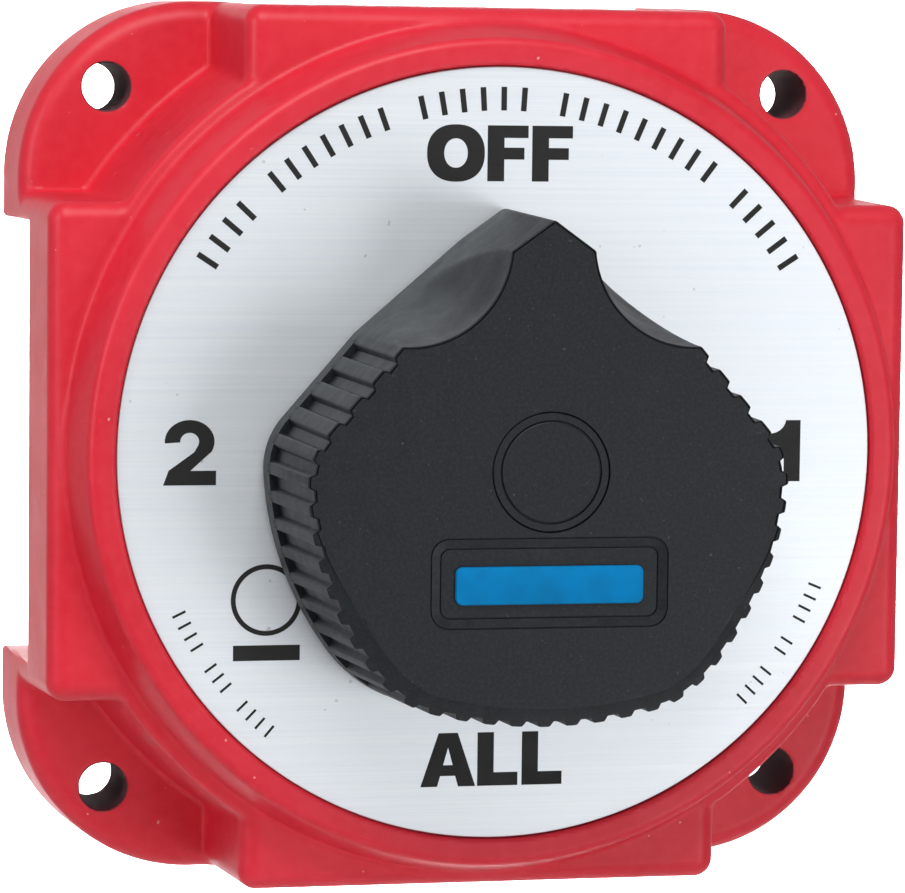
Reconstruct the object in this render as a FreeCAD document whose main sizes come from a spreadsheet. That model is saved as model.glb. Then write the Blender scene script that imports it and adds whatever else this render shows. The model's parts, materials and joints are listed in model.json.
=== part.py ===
"""Four-position battery selector switch: red moulded housing, dial plate, turning knob and contact set.

Axes: +X right and +Z up seen from the front; the dial looks towards -Y.
The origin is the centre of the rear mounting face, on the knob's axis.
"""
import FreeCAD, Part
import Sketcher
import math
import os

V = FreeCAD.Vector
SHEET = "Dims"

# name, value in mm (or degrees), meaning
SIZES = [
    ("half_width", 79.5, "housing half width at the mounting face"),
    ("draft", 1.8, "mould draft of the housing and the knob, degrees"),
    ("lobe_depth", 19.5, "mounting face to the front of the four mounting lobes"),
    ("lobe_corner", 32.0, "corner radius of the lobes"),
    ("lobe_edge", 4.0, "rounding of the lobes' front edge"),
    ("block_depth", 50.4, "mounting face to the front of the side blocks"),
    ("block_half", 45.2, "half length of the side blocks at the mounting face"),
    ("block_edge", 3.5, "rounding of the side blocks' front edge"),
    ("slot_half", 39.6, "half length of each cable slot"),
    ("slot_depth", 28.0, "mounting face to the roof of the cable slots"),
    ("slot_reach", 95.0, "how far out the cable slots are cut"),
    ("drum_foot", 80.5, "drum radius at the lobes"),
    ("drum_top", 77.8, "drum radius at the side blocks' front"),
    ("drum_blend", 3.0, "hollow blend where the drum meets the lobes"),
    ("ring_foot", 75.3, "foot radius of the raised dial ring"),
    ("ring_outer", 72.5, "outer radius of the dial ring's front"),
    ("ring_front", 61.0, "mounting face to the dial ring's front"),
    ("hole_half", 63.5, "half of the 5 inch mounting pattern"),
    ("hole_radius", 4.35, "mounting hole radius for 5/16 inch bolts"),
    ("plate_seat", 59.2, "mounting face to the floor under the dial plate"),
    ("plate_pocket", 67.95, "radius of the dial plate's pocket"),
    ("plate_radius", 67.7, "dial plate radius"),
    ("plate_thick", 1.0, "dial plate thickness"),
    ("plate_bore", 12.5, "hole in the dial plate round the shaft"),
    ("well_radius", 72.5, "rear well radius, open to the mounting face"),
    ("board_seat", 31.0, "mounting face to the contact board's seat"),
    ("chamber_radius", 68.0, "contact chamber radius"),
    ("chamber_front", 54.0, "mounting face to the front of the contact chamber"),
    ("hub_radius", 11.0, "shaft bearing hub radius"),
    ("hub_end", 48.0, "mounting face to the rear end of the bearing hub"),
    ("shaft_bore", 6.3, "bearing bore radius"),
    ("boss_radius", 5.5, "board screw boss radius"),
    ("boss_ring", 66.0, "radius of the board screw positions"),
    ("boss_pilot", 2.05, "screw hole radius in the bosses"),
    ("boss_pilot_deep", 18.0, "screw hole depth in the bosses"),
    ("board_radius", 72.2, "contact board radius"),
    ("board_thick", 6.0, "contact board thickness"),
    ("board_hole", 2.3, "screw clearance radius in the board"),
    ("board_bearing", 4.3, "shaft pivot hole radius in the board"),
    ("screw_radius", 2.0, "screw shank radius"),
    ("screw_head", 3.9, "screw head radius"),
    ("screw_head_high", 2.6, "screw head height"),
    ("screw_long", 17.0, "board screw shank length under the board"),
    ("knob_rear", 62.3, "mounting face to the knob's rear"),
    ("knob_high", 34.2, "knob height"),
    ("knob_hub", 12.0, "knob hub radius"),
    ("knob_hollow", 24.0, "knob hollow outer radius"),
    ("knob_hollow_deep", 26.0, "knob hollow depth"),
    ("knob_bevel", 2.6, "bevel round the lower front edge of the knob"),
    ("knob_web", 25.7, "knob rear to the web the screw clamps"),
    ("knob_web_thick", 3.0, "thickness of that web"),
    ("knob_screw_well", 6.2, "radius of the well round the screw head"),
    ("scoop_radius", 17.5, "finger scoop radius at the front face"),
    ("scoop_deep", 35.5, "finger scoop half depth"),
    ("groove_stop", 5.0, "knob rear to the end of the grip grooves"),
    ("cap_radius", 10.1, "cap radius"),
    ("cap_flat", 8.5, "radius of the cap's raised centre"),
    ("cap_thick", 2.0, "cap thickness"),
    ("cap_step", 0.35, "height of the cap's raised centre over its rim"),
    ("badge_half", 20.6, "half width of the badge panel"),
    ("badge_low", 26.3, "badge panel's lower edge under the axis"),
    ("badge_top", 10.9, "badge panel's upper edge under the axis"),
    ("badge_sink", 0.5, "depth of the badge panel"),
    ("bar_half", 16.2, "half width of the badge bar"),
    ("bar_low", 22.2, "badge bar's lower edge under the axis"),
    ("bar_top", 15.8, "badge bar's upper edge under the axis"),
    ("bar_thick", 0.9, "badge bar thickness"),
    ("shaft_radius", 6.0, "shaft radius"),
    ("shaft_rear", 27.0, "mounting face to the shaft's rear end"),
    ("shaft_front", 88.0, "mounting face to the shaft's front end"),
    ("pivot_radius", 4.0, "shaft pivot radius"),
    ("flange_radius", 9.0, "shaft flange radius"),
    ("flange_thick", 1.5, "shaft flange thickness"),
    ("seal_groove", 4.9, "seal groove floor radius"),
    ("seal_front", 56.2, "mounting face to the front of the seal groove"),
    ("seal_rear", 53.8, "mounting face to the rear of the seal groove"),
    ("drive_half", 4.2, "half width of the shaft's square drive"),
    ("flat_half", 4.6, "distance of the knob drive flat from the axis"),
    ("tap_radius", 2.05, "thread hole radius in the shaft's front end"),
    ("tap_deep", 12.0, "thread hole depth"),
    ("knob_screw_long", 10.0, "knob screw shank length under its washer"),
    ("washer_radius", 5.4, "knob screw washer radius"),
    ("washer_thick", 0.8, "knob screw washer thickness"),
    ("rotor_radius", 38.0, "contact rotor radius"),
    ("rotor_rear", 39.0, "mounting face to the rotor's rear"),
    ("rotor_thick", 7.0, "rotor thickness"),
    ("bridge_thick", 2.5, "moving contact thickness"),
    ("bridge_bore", 10.0, "moving contact ring's inner radius"),
    ("bridge_ring", 16.0, "moving contact ring's outer radius"),
    ("bridge_reach", 36.0, "moving contact sector's outer radius"),
    ("bridge_half_angle", 82.0, "half angle of the moving contact sector, degrees"),
    ("rivet_radius", 2.0, "rivet shank radius"),
    ("rivet_head", 3.4, "rivet head radius"),
    ("rivet_head_high", 1.2, "rivet head height"),
    ("rivet_ring", 27.0, "radius of the rivet positions"),
    ("spring_radius", 14.0, "contact spring mean radius"),
    ("spring_wire", 0.8, "contact spring wire radius"),
    ("spring_gap", 0.4, "clearance of the spring to the chamber front"),
    ("spring_turns", 2.0, "contact spring turns"),
    ("strip_thick", 2.0, "fixed contact strip thickness"),
    ("strip_half", 7.0, "fixed contact strip half width"),
    ("strip_end", 57.0, "outer end of the fixed contact strips"),
    ("strip_start", 21.0, "inner end of the bank contact strips"),
    ("pad_ring", 28.0, "radius of the bank contact pads' positions"),
    ("pad_radius", 6.0, "bank contact pad radius"),
    ("pad_high", 3.2, "height of the pads above the strips"),
    ("slip_outer", 15.5, "common slip ring outer radius"),
    ("slip_inner", 10.5, "common slip ring inner radius"),
    ("stud_ring", 50.0, "radius of the stud positions"),
    ("stud_radius", 4.76, "3/8 inch stud radius"),
    ("stud_flats", 7.15, "half the width across flats of heads and nuts"),
    ("stud_head", 5.0, "stud head height"),
    ("stud_end", 2.0, "mounting face to the stud's free end"),
    ("stud_tip", 4.5, "radius of the stud's plain free end"),
    ("stud_tip_long", 5.0, "length of the stud's plain free end"),
    ("flat_radius", 8.6, "flat washer radius"),
    ("flat_thick", 1.6, "flat washer thickness"),
    ("lock_radius", 7.9, "lock washer radius"),
    ("lock_thick", 2.0, "lock washer thickness"),
    ("clamp_nut", 5.6, "clamp nut height"),
    ("lug_nut", 6.4, "lug nut height"),
]

# knob outline at its front face, right half, from the tip round to the bottom
TIP = (0.0, 42.2)
SHOULDER = (7.4, 36.9)
GRIP_START = (26.0, 20.8)
GRIP_BEND = (38.2, 6.7)
GRIP_SIDE = (40.9, 2.2)
GRIP_WIDEST = (41.5, -2.6)
GRIP_LOWER = (37.9, -19.2)
CORNER_START = (31.1, -31.8)
CORNER_MID = (26.8, -36.7)
CORNER_END = (21.5, -40.2)
BOTTOM = (0.0, -43.25)
SCOOP_AT = (24.7, 38.5)
GRIP_STEPS = slice(2, 7)
GROOVE_FIRST = 3.3
UPPER_PITCH = 5.7
UPPER_GROOVES = 3
LOWER_GROOVES = 15
GROOVE_DEEP = 1.0
GROOVE_FLOOR_HALF = 0.95
GROOVE_LEAN = 0.5
GROOVE_OUT = 1.6
PANEL_CORNER = 3.0
BAR_CORNER = 1.2
RECESS_LONG = 2.0
RECESS_WIDE = 0.45
RECESS_DEEP = 1.3
SEAL_STAND = 0.1
STUD_LEAD = 0.8

STUD_ANGLES = {"common": 90.0, "bank_1": -45.0, "bank_2": 225.0}
RIVET_ANGLES = (30.0, 90.0, 150.0)
CORNER_ANGLES = (45.0, 135.0, 225.0, 315.0)

doc = FreeCAD.newDocument("battery_switch")
parts = []


def make_sheet():
    """Every size in one sheet, as plain numbers with word aliases."""
    made = doc.addObject("Spreadsheet::Sheet", SHEET)
    for row, (name, value, meaning) in enumerate(SIZES, start=1):
        made.set("A%d" % row, meaning)
        made.set("B%d" % row, str(value))
        made.setAlias("B%d" % row, name)
    doc.recompute()
    return made


sheet = make_sheet()


def size(name):
    """One size read back from the sheet."""
    return float(sheet.get(name))


def polar(radius, degrees):
    """Point of the XZ plane at a radius and an angle from +X."""
    turn = math.radians(degrees)
    return radius * math.cos(turn), radius * math.sin(turn)


def new_body(label, rear=0.0, part=True):
    """A body whose own origin lies on the axis, `rear` mm in front of the mounting face."""
    made = doc.addObject("PartDesign::Body", label)
    made.Label = label
    made.AllowCompound = True
    made.Placement = FreeCAD.Placement(V(0, -rear, 0), FreeCAD.Rotation())
    if part:
        parts.append(made)
    return made


def new_sketch(body, name, forward=0.0, role="XZ_Plane"):
    """A sketch on one of the body's own origin planes, moved `forward` along its normal."""
    made = body.newObject("Sketcher::SketchObject", name)
    plane = [item for item in body.Origin.OriginFeatures if item.Role == role][0]
    made.AttachmentSupport = [(plane, "")]
    made.MapMode = "FlatFace"
    made.AttachmentOffset = FreeCAD.Placement(V(0, 0, forward), FreeCAD.Rotation())
    return made


def add_circle(sketch, centre, radius_name):
    """A circle held at its centre, with its radius bound to the sheet."""
    x, z = centre
    index = sketch.addGeometry(Part.Circle(V(x, z, 0), V(0, 0, 1), size(radius_name)))
    if abs(x) < 1e-6 and abs(z) < 1e-6:
        sketch.addConstraint(Sketcher.Constraint("Coincident", index, 3, -1, 1))
    else:
        sketch.addConstraint(Sketcher.Constraint("DistanceX", -1, 1, index, 3, x))
        sketch.addConstraint(Sketcher.Constraint("DistanceY", -1, 1, index, 3, z))
    last = sketch.addConstraint(Sketcher.Constraint("Radius", index, size(radius_name)))
    sketch.setExpression("Constraints[%d]" % last, SHEET + "." + radius_name)


def add_loop(sketch, start, steps):
    """A closed chain: each step is (end,) for a line or (middle, end) for an arc."""
    here = V(start[0], start[1], 0)
    indices = []
    for step in steps:
        end = V(step[-1][0], step[-1][1], 0)
        if len(step) == 1:
            edge = Part.LineSegment(here, end)
        else:
            edge = Part.Arc(here, V(step[0][0], step[0][1], 0), end)
        indices.append(sketch.addGeometry(edge))
        here = end
    return indices


def add_polygon(sketch, points):
    """A closed polygon."""
    add_loop(sketch, points[0], [(point,) for point in points[1:] + points[:1]])


def bind(feature, prop, name):
    """One property follows a size of the sheet."""
    feature.setExpression(prop, SHEET + "." + name if name.isidentifier() else name)


def pad(body, sketch, name, length):
    """Material added towards the front."""
    made = body.newObject("PartDesign::Pad", name)
    made.Profile = sketch
    bind(made, "Length", length)
    doc.recompute()
    return made


def pocket(body, sketch, name, length, forward):
    """Material cut from the sketch, towards the front or towards the rear."""
    before = body.Shape.Volume
    made = body.newObject("PartDesign::Pocket", name)
    made.Profile = sketch
    made.Reversed = forward
    bind(made, "Length", length)
    doc.recompute()
    if body.Shape.Volume > before - 1e-3:
        raise RuntimeError(name + " cuts nothing")
    return made


def turned(body, kind, name, points):
    """A revolution or groove about the switch axis; points are (radius, forward) pairs."""
    sketch = new_sketch(body, name + "_profile", role="XY_Plane")
    add_polygon(sketch, [(radius, -forward) for radius, forward in points])
    made = body.newObject(kind, name)
    made.Profile = sketch
    made.ReferenceAxis = (sketch, ["V_Axis"])
    made.Angle = 360.0
    doc.recompute()
    return made


def fillet(body, name, edge_test, radius_name):
    """Rounding of the edges the test accepts."""
    base = body.Tip
    chosen = ["Edge%d" % (i + 1) for i, edge in enumerate(base.Shape.Edges) if edge_test(edge)]
    made = body.newObject("PartDesign::Fillet", name)
    made.Base = (base, chosen)
    bind(made, "Radius", radius_name)
    doc.recompute()
    return made


def ring_of_circles(body, name, positions, radius_name, forward=0.0):
    """A sketch with one circle at each position."""
    made = new_sketch(body, name, forward)
    for position in positions:
        add_circle(made, position, radius_name)
    return made


def hexagon(sketch, centre, half_flats):
    """A hexagon with two flats facing left and right."""
    corner = half_flats / math.cos(math.radians(30))
    points = []
    for step in range(6):
        dx, dz = polar(corner, 30 + 60 * step)
        points.append((centre[0] + dx, centre[1] + dz))
    add_polygon(sketch, points)


def plus_outline(sketch, half_width, half_length):
    """The four-armed outline shared by the side blocks and the cable slots."""
    a, b = half_width, half_length
    add_polygon(sketch, [(a, -b), (a, b), (b, b), (b, a), (-b, a), (-b, b),
                         (-a, b), (-a, -b), (-b, -b), (-b, -a), (b, -a), (b, -b)])


def box_outline(sketch, half_width, half_height):
    """A rectangle centred on the axis."""
    a, b = half_width, half_height
    add_polygon(sketch, [(-a, -b), (a, -b), (a, b), (-a, b)])


def rounded_box(sketch, left, right, low, high, corner):
    """A rectangle with rounded corners."""
    k = corner * (1 - math.sqrt(0.5))
    add_loop(sketch, (left + corner, low), [
        ((right - corner, low),), ((right - k, low + k), (right, low + corner)),
        ((right, high - corner),), ((right - k, high - k), (right - corner, high)),
        ((left + corner, high),), ((left + k, high - k), (left, high - corner)),
        ((left, low + corner),), ((left + k, low + k), (left + corner, low))])


STUDS = [polar(size("stud_ring"), angle) for angle in STUD_ANGLES.values()]
SCREWS = [polar(size("boss_ring"), angle) for angle in CORNER_ANGLES]
HOLES = [(sx * size("hole_half"), sz * size("hole_half")) for sx in (1, -1) for sz in (1, -1)]


def front_of(edge, depth, reach):
    """True for an edge lying wholly at one depth, outside a radius."""
    box = edge.BoundBox
    level = abs(box.YMin + depth) < 0.01 and abs(box.YMax + depth) < 0.01
    middle = edge.valueAt((edge.FirstParameter + edge.LastParameter) / 2)
    return level and math.hypot(middle.x, middle.z) > reach


def drafted(label, outline, depth_name, edge_test=None, radius_name=None):
    """A tapered block for the housing, rounded where the edge test says."""
    body = new_body(label, part=False)
    sketch = new_sketch(body, label + "_outline")
    outline(sketch)
    plate = pad(body, sketch, label + "_pad", depth_name)
    plate.TaperAngle = -size("draft")
    doc.recompute()
    if edge_test:
        fillet(body, label + "_rounding", edge_test, radius_name)
    return body


def make_shell():
    """The housing's outside: lobes, crossing side blocks and the drum with its dial ring."""
    half, arm = size("half_width"), size("block_half")
    front = size("block_depth")
    body = new_body("housing")
    edge, blend = size("block_edge"), size("drum_blend")
    turned(body, "PartDesign::Revolution", "drum", [
        (0, 0), (size("drum_foot"), 0), (size("drum_foot") + blend, size("lobe_depth") - 1),
        (size("drum_foot") + blend, size("lobe_depth")),
        (size("drum_foot") + 0.3 * blend, size("lobe_depth") + 0.3 * blend),
        (size("drum_foot"), size("lobe_depth") + blend),
        (size("drum_top"), front - edge),
        (size("drum_top") - 0.3 * edge, front - 0.3 * edge),
        (size("drum_top") - edge, front),
        (size("ring_foot"), front),
        (size("ring_outer"), size("ring_front") - 0.6),
        (size("ring_outer") - 0.6, size("ring_front")),
        (0, size("ring_front"))])
    square = drafted("drum_square", lambda s: box_outline(s, half, half), "ring_front")
    clip = body.newObject("PartDesign::Boolean", "clipped_drum")
    clip.Type = "Common"
    clip.addObjects([square])
    doc.recompute()
    lobes = drafted("lobes", lambda s: rounded_box(s, -half, half, -half, half, size("lobe_corner")),
                    "lobe_depth", lambda e: front_of(e, size("lobe_depth"), 0), "lobe_edge")
    wide = drafted("wide_block", lambda s: box_outline(s, half, arm), "block_depth",
                   lambda e: e.BoundBox.YLength > 1 or front_of(e, front, 0), "block_edge")
    tall = drafted("tall_block", lambda s: box_outline(s, arm, half), "block_depth",
                   lambda e: e.BoundBox.YLength > 1 or front_of(e, front, 0), "block_edge")
    fuse = body.newObject("PartDesign::Boolean", "outside")
    fuse.Type = "Fuse"
    fuse.addObjects([lobes, wide, tall])
    doc.recompute()
    return body


def make_housing():
    """Moulded housing: the outside shell with its chamber, slots, bosses and holes."""
    body = make_shell()
    turned(body, "PartDesign::Groove", "inside", [
        (0, -1), (size("well_radius"), -1), (size("well_radius"), size("board_seat")),
        (size("chamber_radius"), size("board_seat")), (size("chamber_radius"), size("chamber_front")),
        (size("hub_radius"), size("chamber_front")), (size("hub_radius"), size("hub_end")),
        (size("shaft_bore"), size("hub_end")), (size("shaft_bore"), size("plate_seat")),
        (size("plate_pocket"), size("plate_seat")), (size("plate_pocket"), size("ring_front") + 1),
        (0, size("ring_front") + 1)])
    slots = new_sketch(body, "slot_outline")
    plus_outline(slots, size("slot_reach"), size("slot_half"))
    pocket(body, slots, "cable_slots", "slot_depth", True)
    bosses = ring_of_circles(body, "boss_circles", SCREWS, "boss_radius", size("board_seat"))
    pad(body, bosses, "screw_bosses", "Dims.chamber_front - Dims.board_seat")
    pilots = ring_of_circles(body, "pilot_circles", SCREWS, "boss_pilot", size("board_seat"))
    pocket(body, pilots, "pilot_holes", "boss_pilot_deep", True)
    mounts = ring_of_circles(body, "mounting_circles", HOLES, "hole_radius")
    pocket(body, mounts, "mounting_holes", "slot_depth", True)


def make_plate():
    """Flat dial plate set into the ring, with a hole for the shaft."""
    body = new_body("dial_plate", size("plate_seat"))
    sketch = new_sketch(body, "plate_outline")
    add_circle(sketch, (0, 0), "plate_radius")
    add_circle(sketch, (0, 0), "plate_bore")
    pad(body, sketch, "plate", "plate_thick")


def knob_steps():
    """The knob's front outline as line and arc steps from its tip, clockwise."""
    right = [(SHOULDER,), (GRIP_START,), (GRIP_BEND,), (GRIP_SIDE, GRIP_WIDEST),
             (GRIP_LOWER, CORNER_START), (CORNER_MID, CORNER_END)]
    left = []
    ends = [TIP] + [step[-1] for step in right]
    for number in range(len(right) - 1, -1, -1):
        back = ends[number]
        mirrored = [(-x, z) for x, z in right[number][:-1]] + [(-back[0], back[1])]
        left.append(tuple(mirrored))
    across = ((BOTTOM, (-CORNER_END[0], CORNER_END[1])),)
    return right + list(across) + left


def grip_edges():
    """Edges of the gripped part of the front outline, from the right scoop to past the bottom."""
    here = V(GRIP_START[0], GRIP_START[1], 0)
    edges = []
    for step in knob_steps()[GRIP_STEPS]:
        end = V(step[-1][0], step[-1][1], 0)
        if len(step) == 1:
            curve = Part.LineSegment(here, end)
        else:
            curve = Part.Arc(here, V(step[0][0], step[0][1], 0), end)
        edges.append(curve.toShape())
        here = end
    return edges


def groove_places(edges):
    """Distances of the groove centres along the outline's right half; the upper ones stand wider apart."""
    bottom = sum(edge.Length for edge in edges) - edges[-1].Length / 2
    lower = GROOVE_FIRST + UPPER_GROOVES * UPPER_PITCH
    pitch = (bottom - lower) / (LOWER_GROOVES + 0.5)
    places = [GROOVE_FIRST + UPPER_PITCH * number for number in range(UPPER_GROOVES)]
    return places + [lower + pitch * number for number in range(LOWER_GROOVES + 1)]


def groove_corners(edges, place, side):
    """One groove across the outline, narrower at its floor; side is 1 for the right and -1 for the left."""
    for edge in edges:
        if place <= edge.Length:
            break
        place -= edge.Length
    at = edge.getParameterByLength(place)
    point, along = edge.valueAt(at), edge.tangentAt(at)
    inward = V(along.y, -along.x, 0)
    opening = GROOVE_FLOOR_HALF + GROOVE_LEAN * (GROOVE_DEEP + GROOVE_OUT)
    corners = [point - inward * GROOVE_OUT - along * opening,
               point + inward * GROOVE_DEEP - along * GROOVE_FLOOR_HALF,
               point + inward * GROOVE_DEEP + along * GROOVE_FLOOR_HALF,
               point - inward * GROOVE_OUT + along * opening]
    return [(side * corner.x, corner.y) for corner in corners]


def make_knob():
    """Grip knob: drafted body with two finger scoops, grip grooves, hub and badge panel."""
    body = new_body("knob", size("knob_rear"))
    high = size("knob_high")
    outline = new_sketch(body, "knob_outline", high)
    add_loop(outline, TIP, knob_steps())
    solid = pad(body, outline, "knob_pad", "knob_high")
    solid.Reversed = True
    solid.TaperAngle = size("draft")
    doc.recompute()
    bevel_low(body, high)
    for side in (-1, 1):
        cut_scoop(body, side, high)
    edges = grip_edges()
    grooves = new_sketch(body, "grip_outline", high)
    for place in groove_places(edges):
        for side in (-1, 1):
            add_polygon(grooves, groove_corners(edges, place, side))
    pocket(body, grooves, "grip_grooves", "Dims.knob_high - Dims.groove_stop", False)
    turned(body, "PartDesign::Groove", "knob_inside", [
        (0, -1), (size("shaft_radius"), -1), (size("shaft_radius"), size("knob_web")),
        (size("tap_radius") + 0.3, size("knob_web")),
        (size("tap_radius") + 0.3, size("knob_web") + size("knob_web_thick")),
        (size("knob_screw_well"), size("knob_web") + size("knob_web_thick")),
        (size("knob_screw_well"), high - size("cap_thick")),
        (size("cap_radius"), high - size("cap_thick")),
        (size("cap_radius"), high + 1), (0, high + 1)])
    turned(body, "PartDesign::Groove", "knob_hollow_cut", [
        (size("knob_hub"), -1), (size("knob_hollow"), -1),
        (size("knob_hollow"), size("knob_hollow_deep")), (size("knob_hub"), size("knob_hollow_deep"))])
    flat = new_sketch(body, "flat_outline")
    low, reach = size("flat_half"), size("shaft_radius")
    add_polygon(flat, [(-reach, low), (reach, low), (reach, reach + 0.5), (-reach, reach + 0.5)])
    pad(body, flat, "drive_flat", "knob_web")
    panel = new_sketch(body, "panel_outline", high)
    rounded_box(panel, -size("badge_half"), size("badge_half"), -size("badge_low"), -size("badge_top"),
                PANEL_CORNER)
    pocket(body, panel, "badge_panel", "badge_sink", False)


def bevel_low(body, high):
    """Bevel along the front edge round the lower half of the knob."""
    base = body.Tip
    chosen = []
    for i, edge in enumerate(base.Shape.Edges):
        middle = edge.valueAt((edge.FirstParameter + edge.LastParameter) / 2)
        if abs(middle.y + high) < 0.01 and middle.z < GRIP_LOWER[1] / 2:
            chosen.append("Edge%d" % (i + 1))
    made = body.newObject("PartDesign::Chamfer", "low_bevel")
    made.Base = (base, chosen)
    bind(made, "Size", "knob_bevel")
    doc.recompute()


def cut_scoop(body, side, high):
    """One finger scoop beside the knob's tip."""
    made = body.newObject("PartDesign::SubtractiveEllipsoid", "scoop_left" if side < 0 else "scoop_right")
    bind(made, "Radius1", "scoop_radius")
    bind(made, "Radius2", "scoop_radius")
    bind(made, "Radius3", "scoop_deep")
    made.Placement = FreeCAD.Placement(V(side * SCOOP_AT[0], -high, SCOOP_AT[1]), FreeCAD.Rotation())
    doc.recompute()


def make_cap():
    """Round cap over the knob screw, with a raised centre inside a lower rim."""
    body = new_body("knob_cap", size("knob_rear") + size("knob_high") - size("cap_thick"))
    top, step = size("cap_thick"), size("cap_step")
    turned(body, "PartDesign::Revolution", "cap", [
        (0, 0), (size("cap_radius"), 0), (size("cap_radius"), top - step),
        (size("cap_flat"), top - step), (size("cap_flat"), top), (0, top)])


def make_badge():
    """Plain blue bar standing in the badge panel."""
    body = new_body("knob_badge_bar", size("knob_rear") + size("knob_high") - size("badge_sink"))
    sketch = new_sketch(body, "bar_outline")
    rounded_box(sketch, -size("bar_half"), size("bar_half"), -size("bar_low"), -size("bar_top"), BAR_CORNER)
    pad(body, sketch, "bar", "bar_thick")


def make_knob_screw():
    """Pan head screw through the knob's web into the shaft."""
    seat = size("knob_rear") + size("knob_web") + size("knob_web_thick")
    washer = new_body("knob_screw_washer", seat)
    ring = new_sketch(washer, "washer_outline")
    add_circle(ring, (0, 0), "washer_radius")
    add_circle(ring, (0, 0), "tap_radius")
    pad(washer, ring, "washer", "washer_thick")
    screw = new_body("knob_screw", seat + size("washer_thick"))
    shank = new_sketch(screw, "shank_outline")
    add_circle(shank, (0, 0), "screw_radius")
    pad(screw, shank, "shank", "knob_screw_long").Reversed = True
    doc.recompute()
    add_pan_head(screw, [(0, 0)])


def add_pan_head(body, centres):
    """Pan heads with a cross recess, at the body's front."""
    heads = ring_of_circles(body, "head_circles", centres, "screw_head")
    pad(body, heads, "heads", "screw_head_high")
    recess = new_sketch(body, "recess_outline", size("screw_head_high"))
    for x, z in centres:
        a, b = RECESS_LONG, RECESS_WIDE
        add_polygon(recess, [(x + a, z - b), (x + a, z + b), (x + b, z + b), (x + b, z + a),
                             (x - b, z + a), (x - b, z + b), (x - a, z + b), (x - a, z - b),
                             (x - b, z - b), (x - b, z - a), (x + b, z - a), (x + b, z - b)])
    made = body.newObject("PartDesign::Pocket", "recess")
    made.Profile = recess
    made.Length = RECESS_DEEP
    doc.recompute()


def make_shaft():
    """Shaft: pivot, square drive, flange, seal groove, knob flat and thread hole."""
    rear, front = size("shaft_rear"), size("shaft_front")
    body = new_body("shaft", rear)
    flange = size("rotor_rear") + size("rotor_thick") - rear
    turned(body, "PartDesign::Revolution", "shaft_turning", [
        (0, 0), (size("pivot_radius"), 0), (size("pivot_radius"), size("rotor_rear") - rear),
        (size("shaft_radius"), size("rotor_rear") - rear), (size("shaft_radius"), flange),
        (size("flange_radius"), flange), (size("flange_radius"), flange + size("flange_thick")),
        (size("shaft_radius"), flange + size("flange_thick")),
        (size("shaft_radius"), size("seal_rear") - rear), (size("seal_groove"), size("seal_rear") - rear),
        (size("seal_groove"), size("seal_front") - rear), (size("shaft_radius"), size("seal_front") - rear),
        (size("shaft_radius"), front - rear), (size("tap_radius"), front - rear),
        (size("tap_radius"), front - rear - size("tap_deep")), (0, front - rear - size("tap_deep"))])
    square = new_sketch(body, "square_outline", size("rotor_rear") - rear)
    add_circle(square, (0, 0), "flange_radius")
    box_outline(square, size("drive_half"), size("drive_half"))
    pocket(body, square, "square_drive", "rotor_thick", True)
    flat = new_sketch(body, "flat_outline", front - rear)
    low, reach = size("flat_half"), size("flange_radius")
    add_polygon(flat, [(-reach, low), (reach, low), (reach, reach), (-reach, reach)])
    pocket(body, flat, "drive_flat", "knob_web", False)


def make_seal():
    """Seal ring in the shaft's groove."""
    body = new_body("shaft_seal", size("seal_rear"))
    high = size("seal_front") - size("seal_rear")
    outer = size("shaft_radius") + SEAL_STAND
    turned(body, "PartDesign::Revolution", "seal", [
        (size("seal_groove"), 0.2), (outer - 0.4, 0.2), (outer, 0.6), (outer, high - 0.6),
        (outer - 0.4, high - 0.2), (size("seal_groove"), high - 0.2)])


def make_rotor():
    """Insulating rotor on the square drive."""
    body = new_body("contact_rotor", size("rotor_rear"))
    disc = new_sketch(body, "rotor_outline")
    add_circle(disc, (0, 0), "rotor_radius")
    box_outline(disc, size("drive_half"), size("drive_half"))
    for angle in RIVET_ANGLES:
        add_circle(disc, polar(size("rivet_ring"), angle), "rivet_radius")
    pad(body, disc, "rotor", "rotor_thick")


def make_bridge():
    """Moving contact: a ring on the common slip ring and a sector that bridges the bank pads."""
    body = new_body("moving_contact", size("rotor_rear") - size("bridge_thick"))
    sketch = new_sketch(body, "bridge_outline")
    ring, reach = size("bridge_ring"), size("bridge_reach")
    low, high = 90 - size("bridge_half_angle"), 90 + size("bridge_half_angle")
    add_loop(sketch, polar(ring, low), [(polar(reach, low),), (polar(reach, 90), polar(reach, high)),
                                        (polar(ring, high),), (polar(ring, -90), polar(ring, low))])
    add_circle(sketch, (0, 0), "bridge_bore")
    for angle in RIVET_ANGLES:
        add_circle(sketch, polar(size("rivet_ring"), angle), "rivet_radius")
    pad(body, sketch, "bridge", "bridge_thick")


def make_rivets():
    """Rivets through the moving contact and the rotor."""
    body = new_body("contact_rivets", size("rotor_rear") - size("bridge_thick"))
    places = [polar(size("rivet_ring"), angle) for angle in RIVET_ANGLES]
    shanks = ring_of_circles(body, "shank_circles", places, "rivet_radius")
    pad(body, shanks, "shanks", "Dims.rotor_thick + Dims.bridge_thick")
    over = size("rotor_thick") + size("bridge_thick")
    heads = ring_of_circles(body, "head_circles", places, "rivet_head", over)
    pad(body, heads, "heads", "rivet_head_high")


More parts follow.
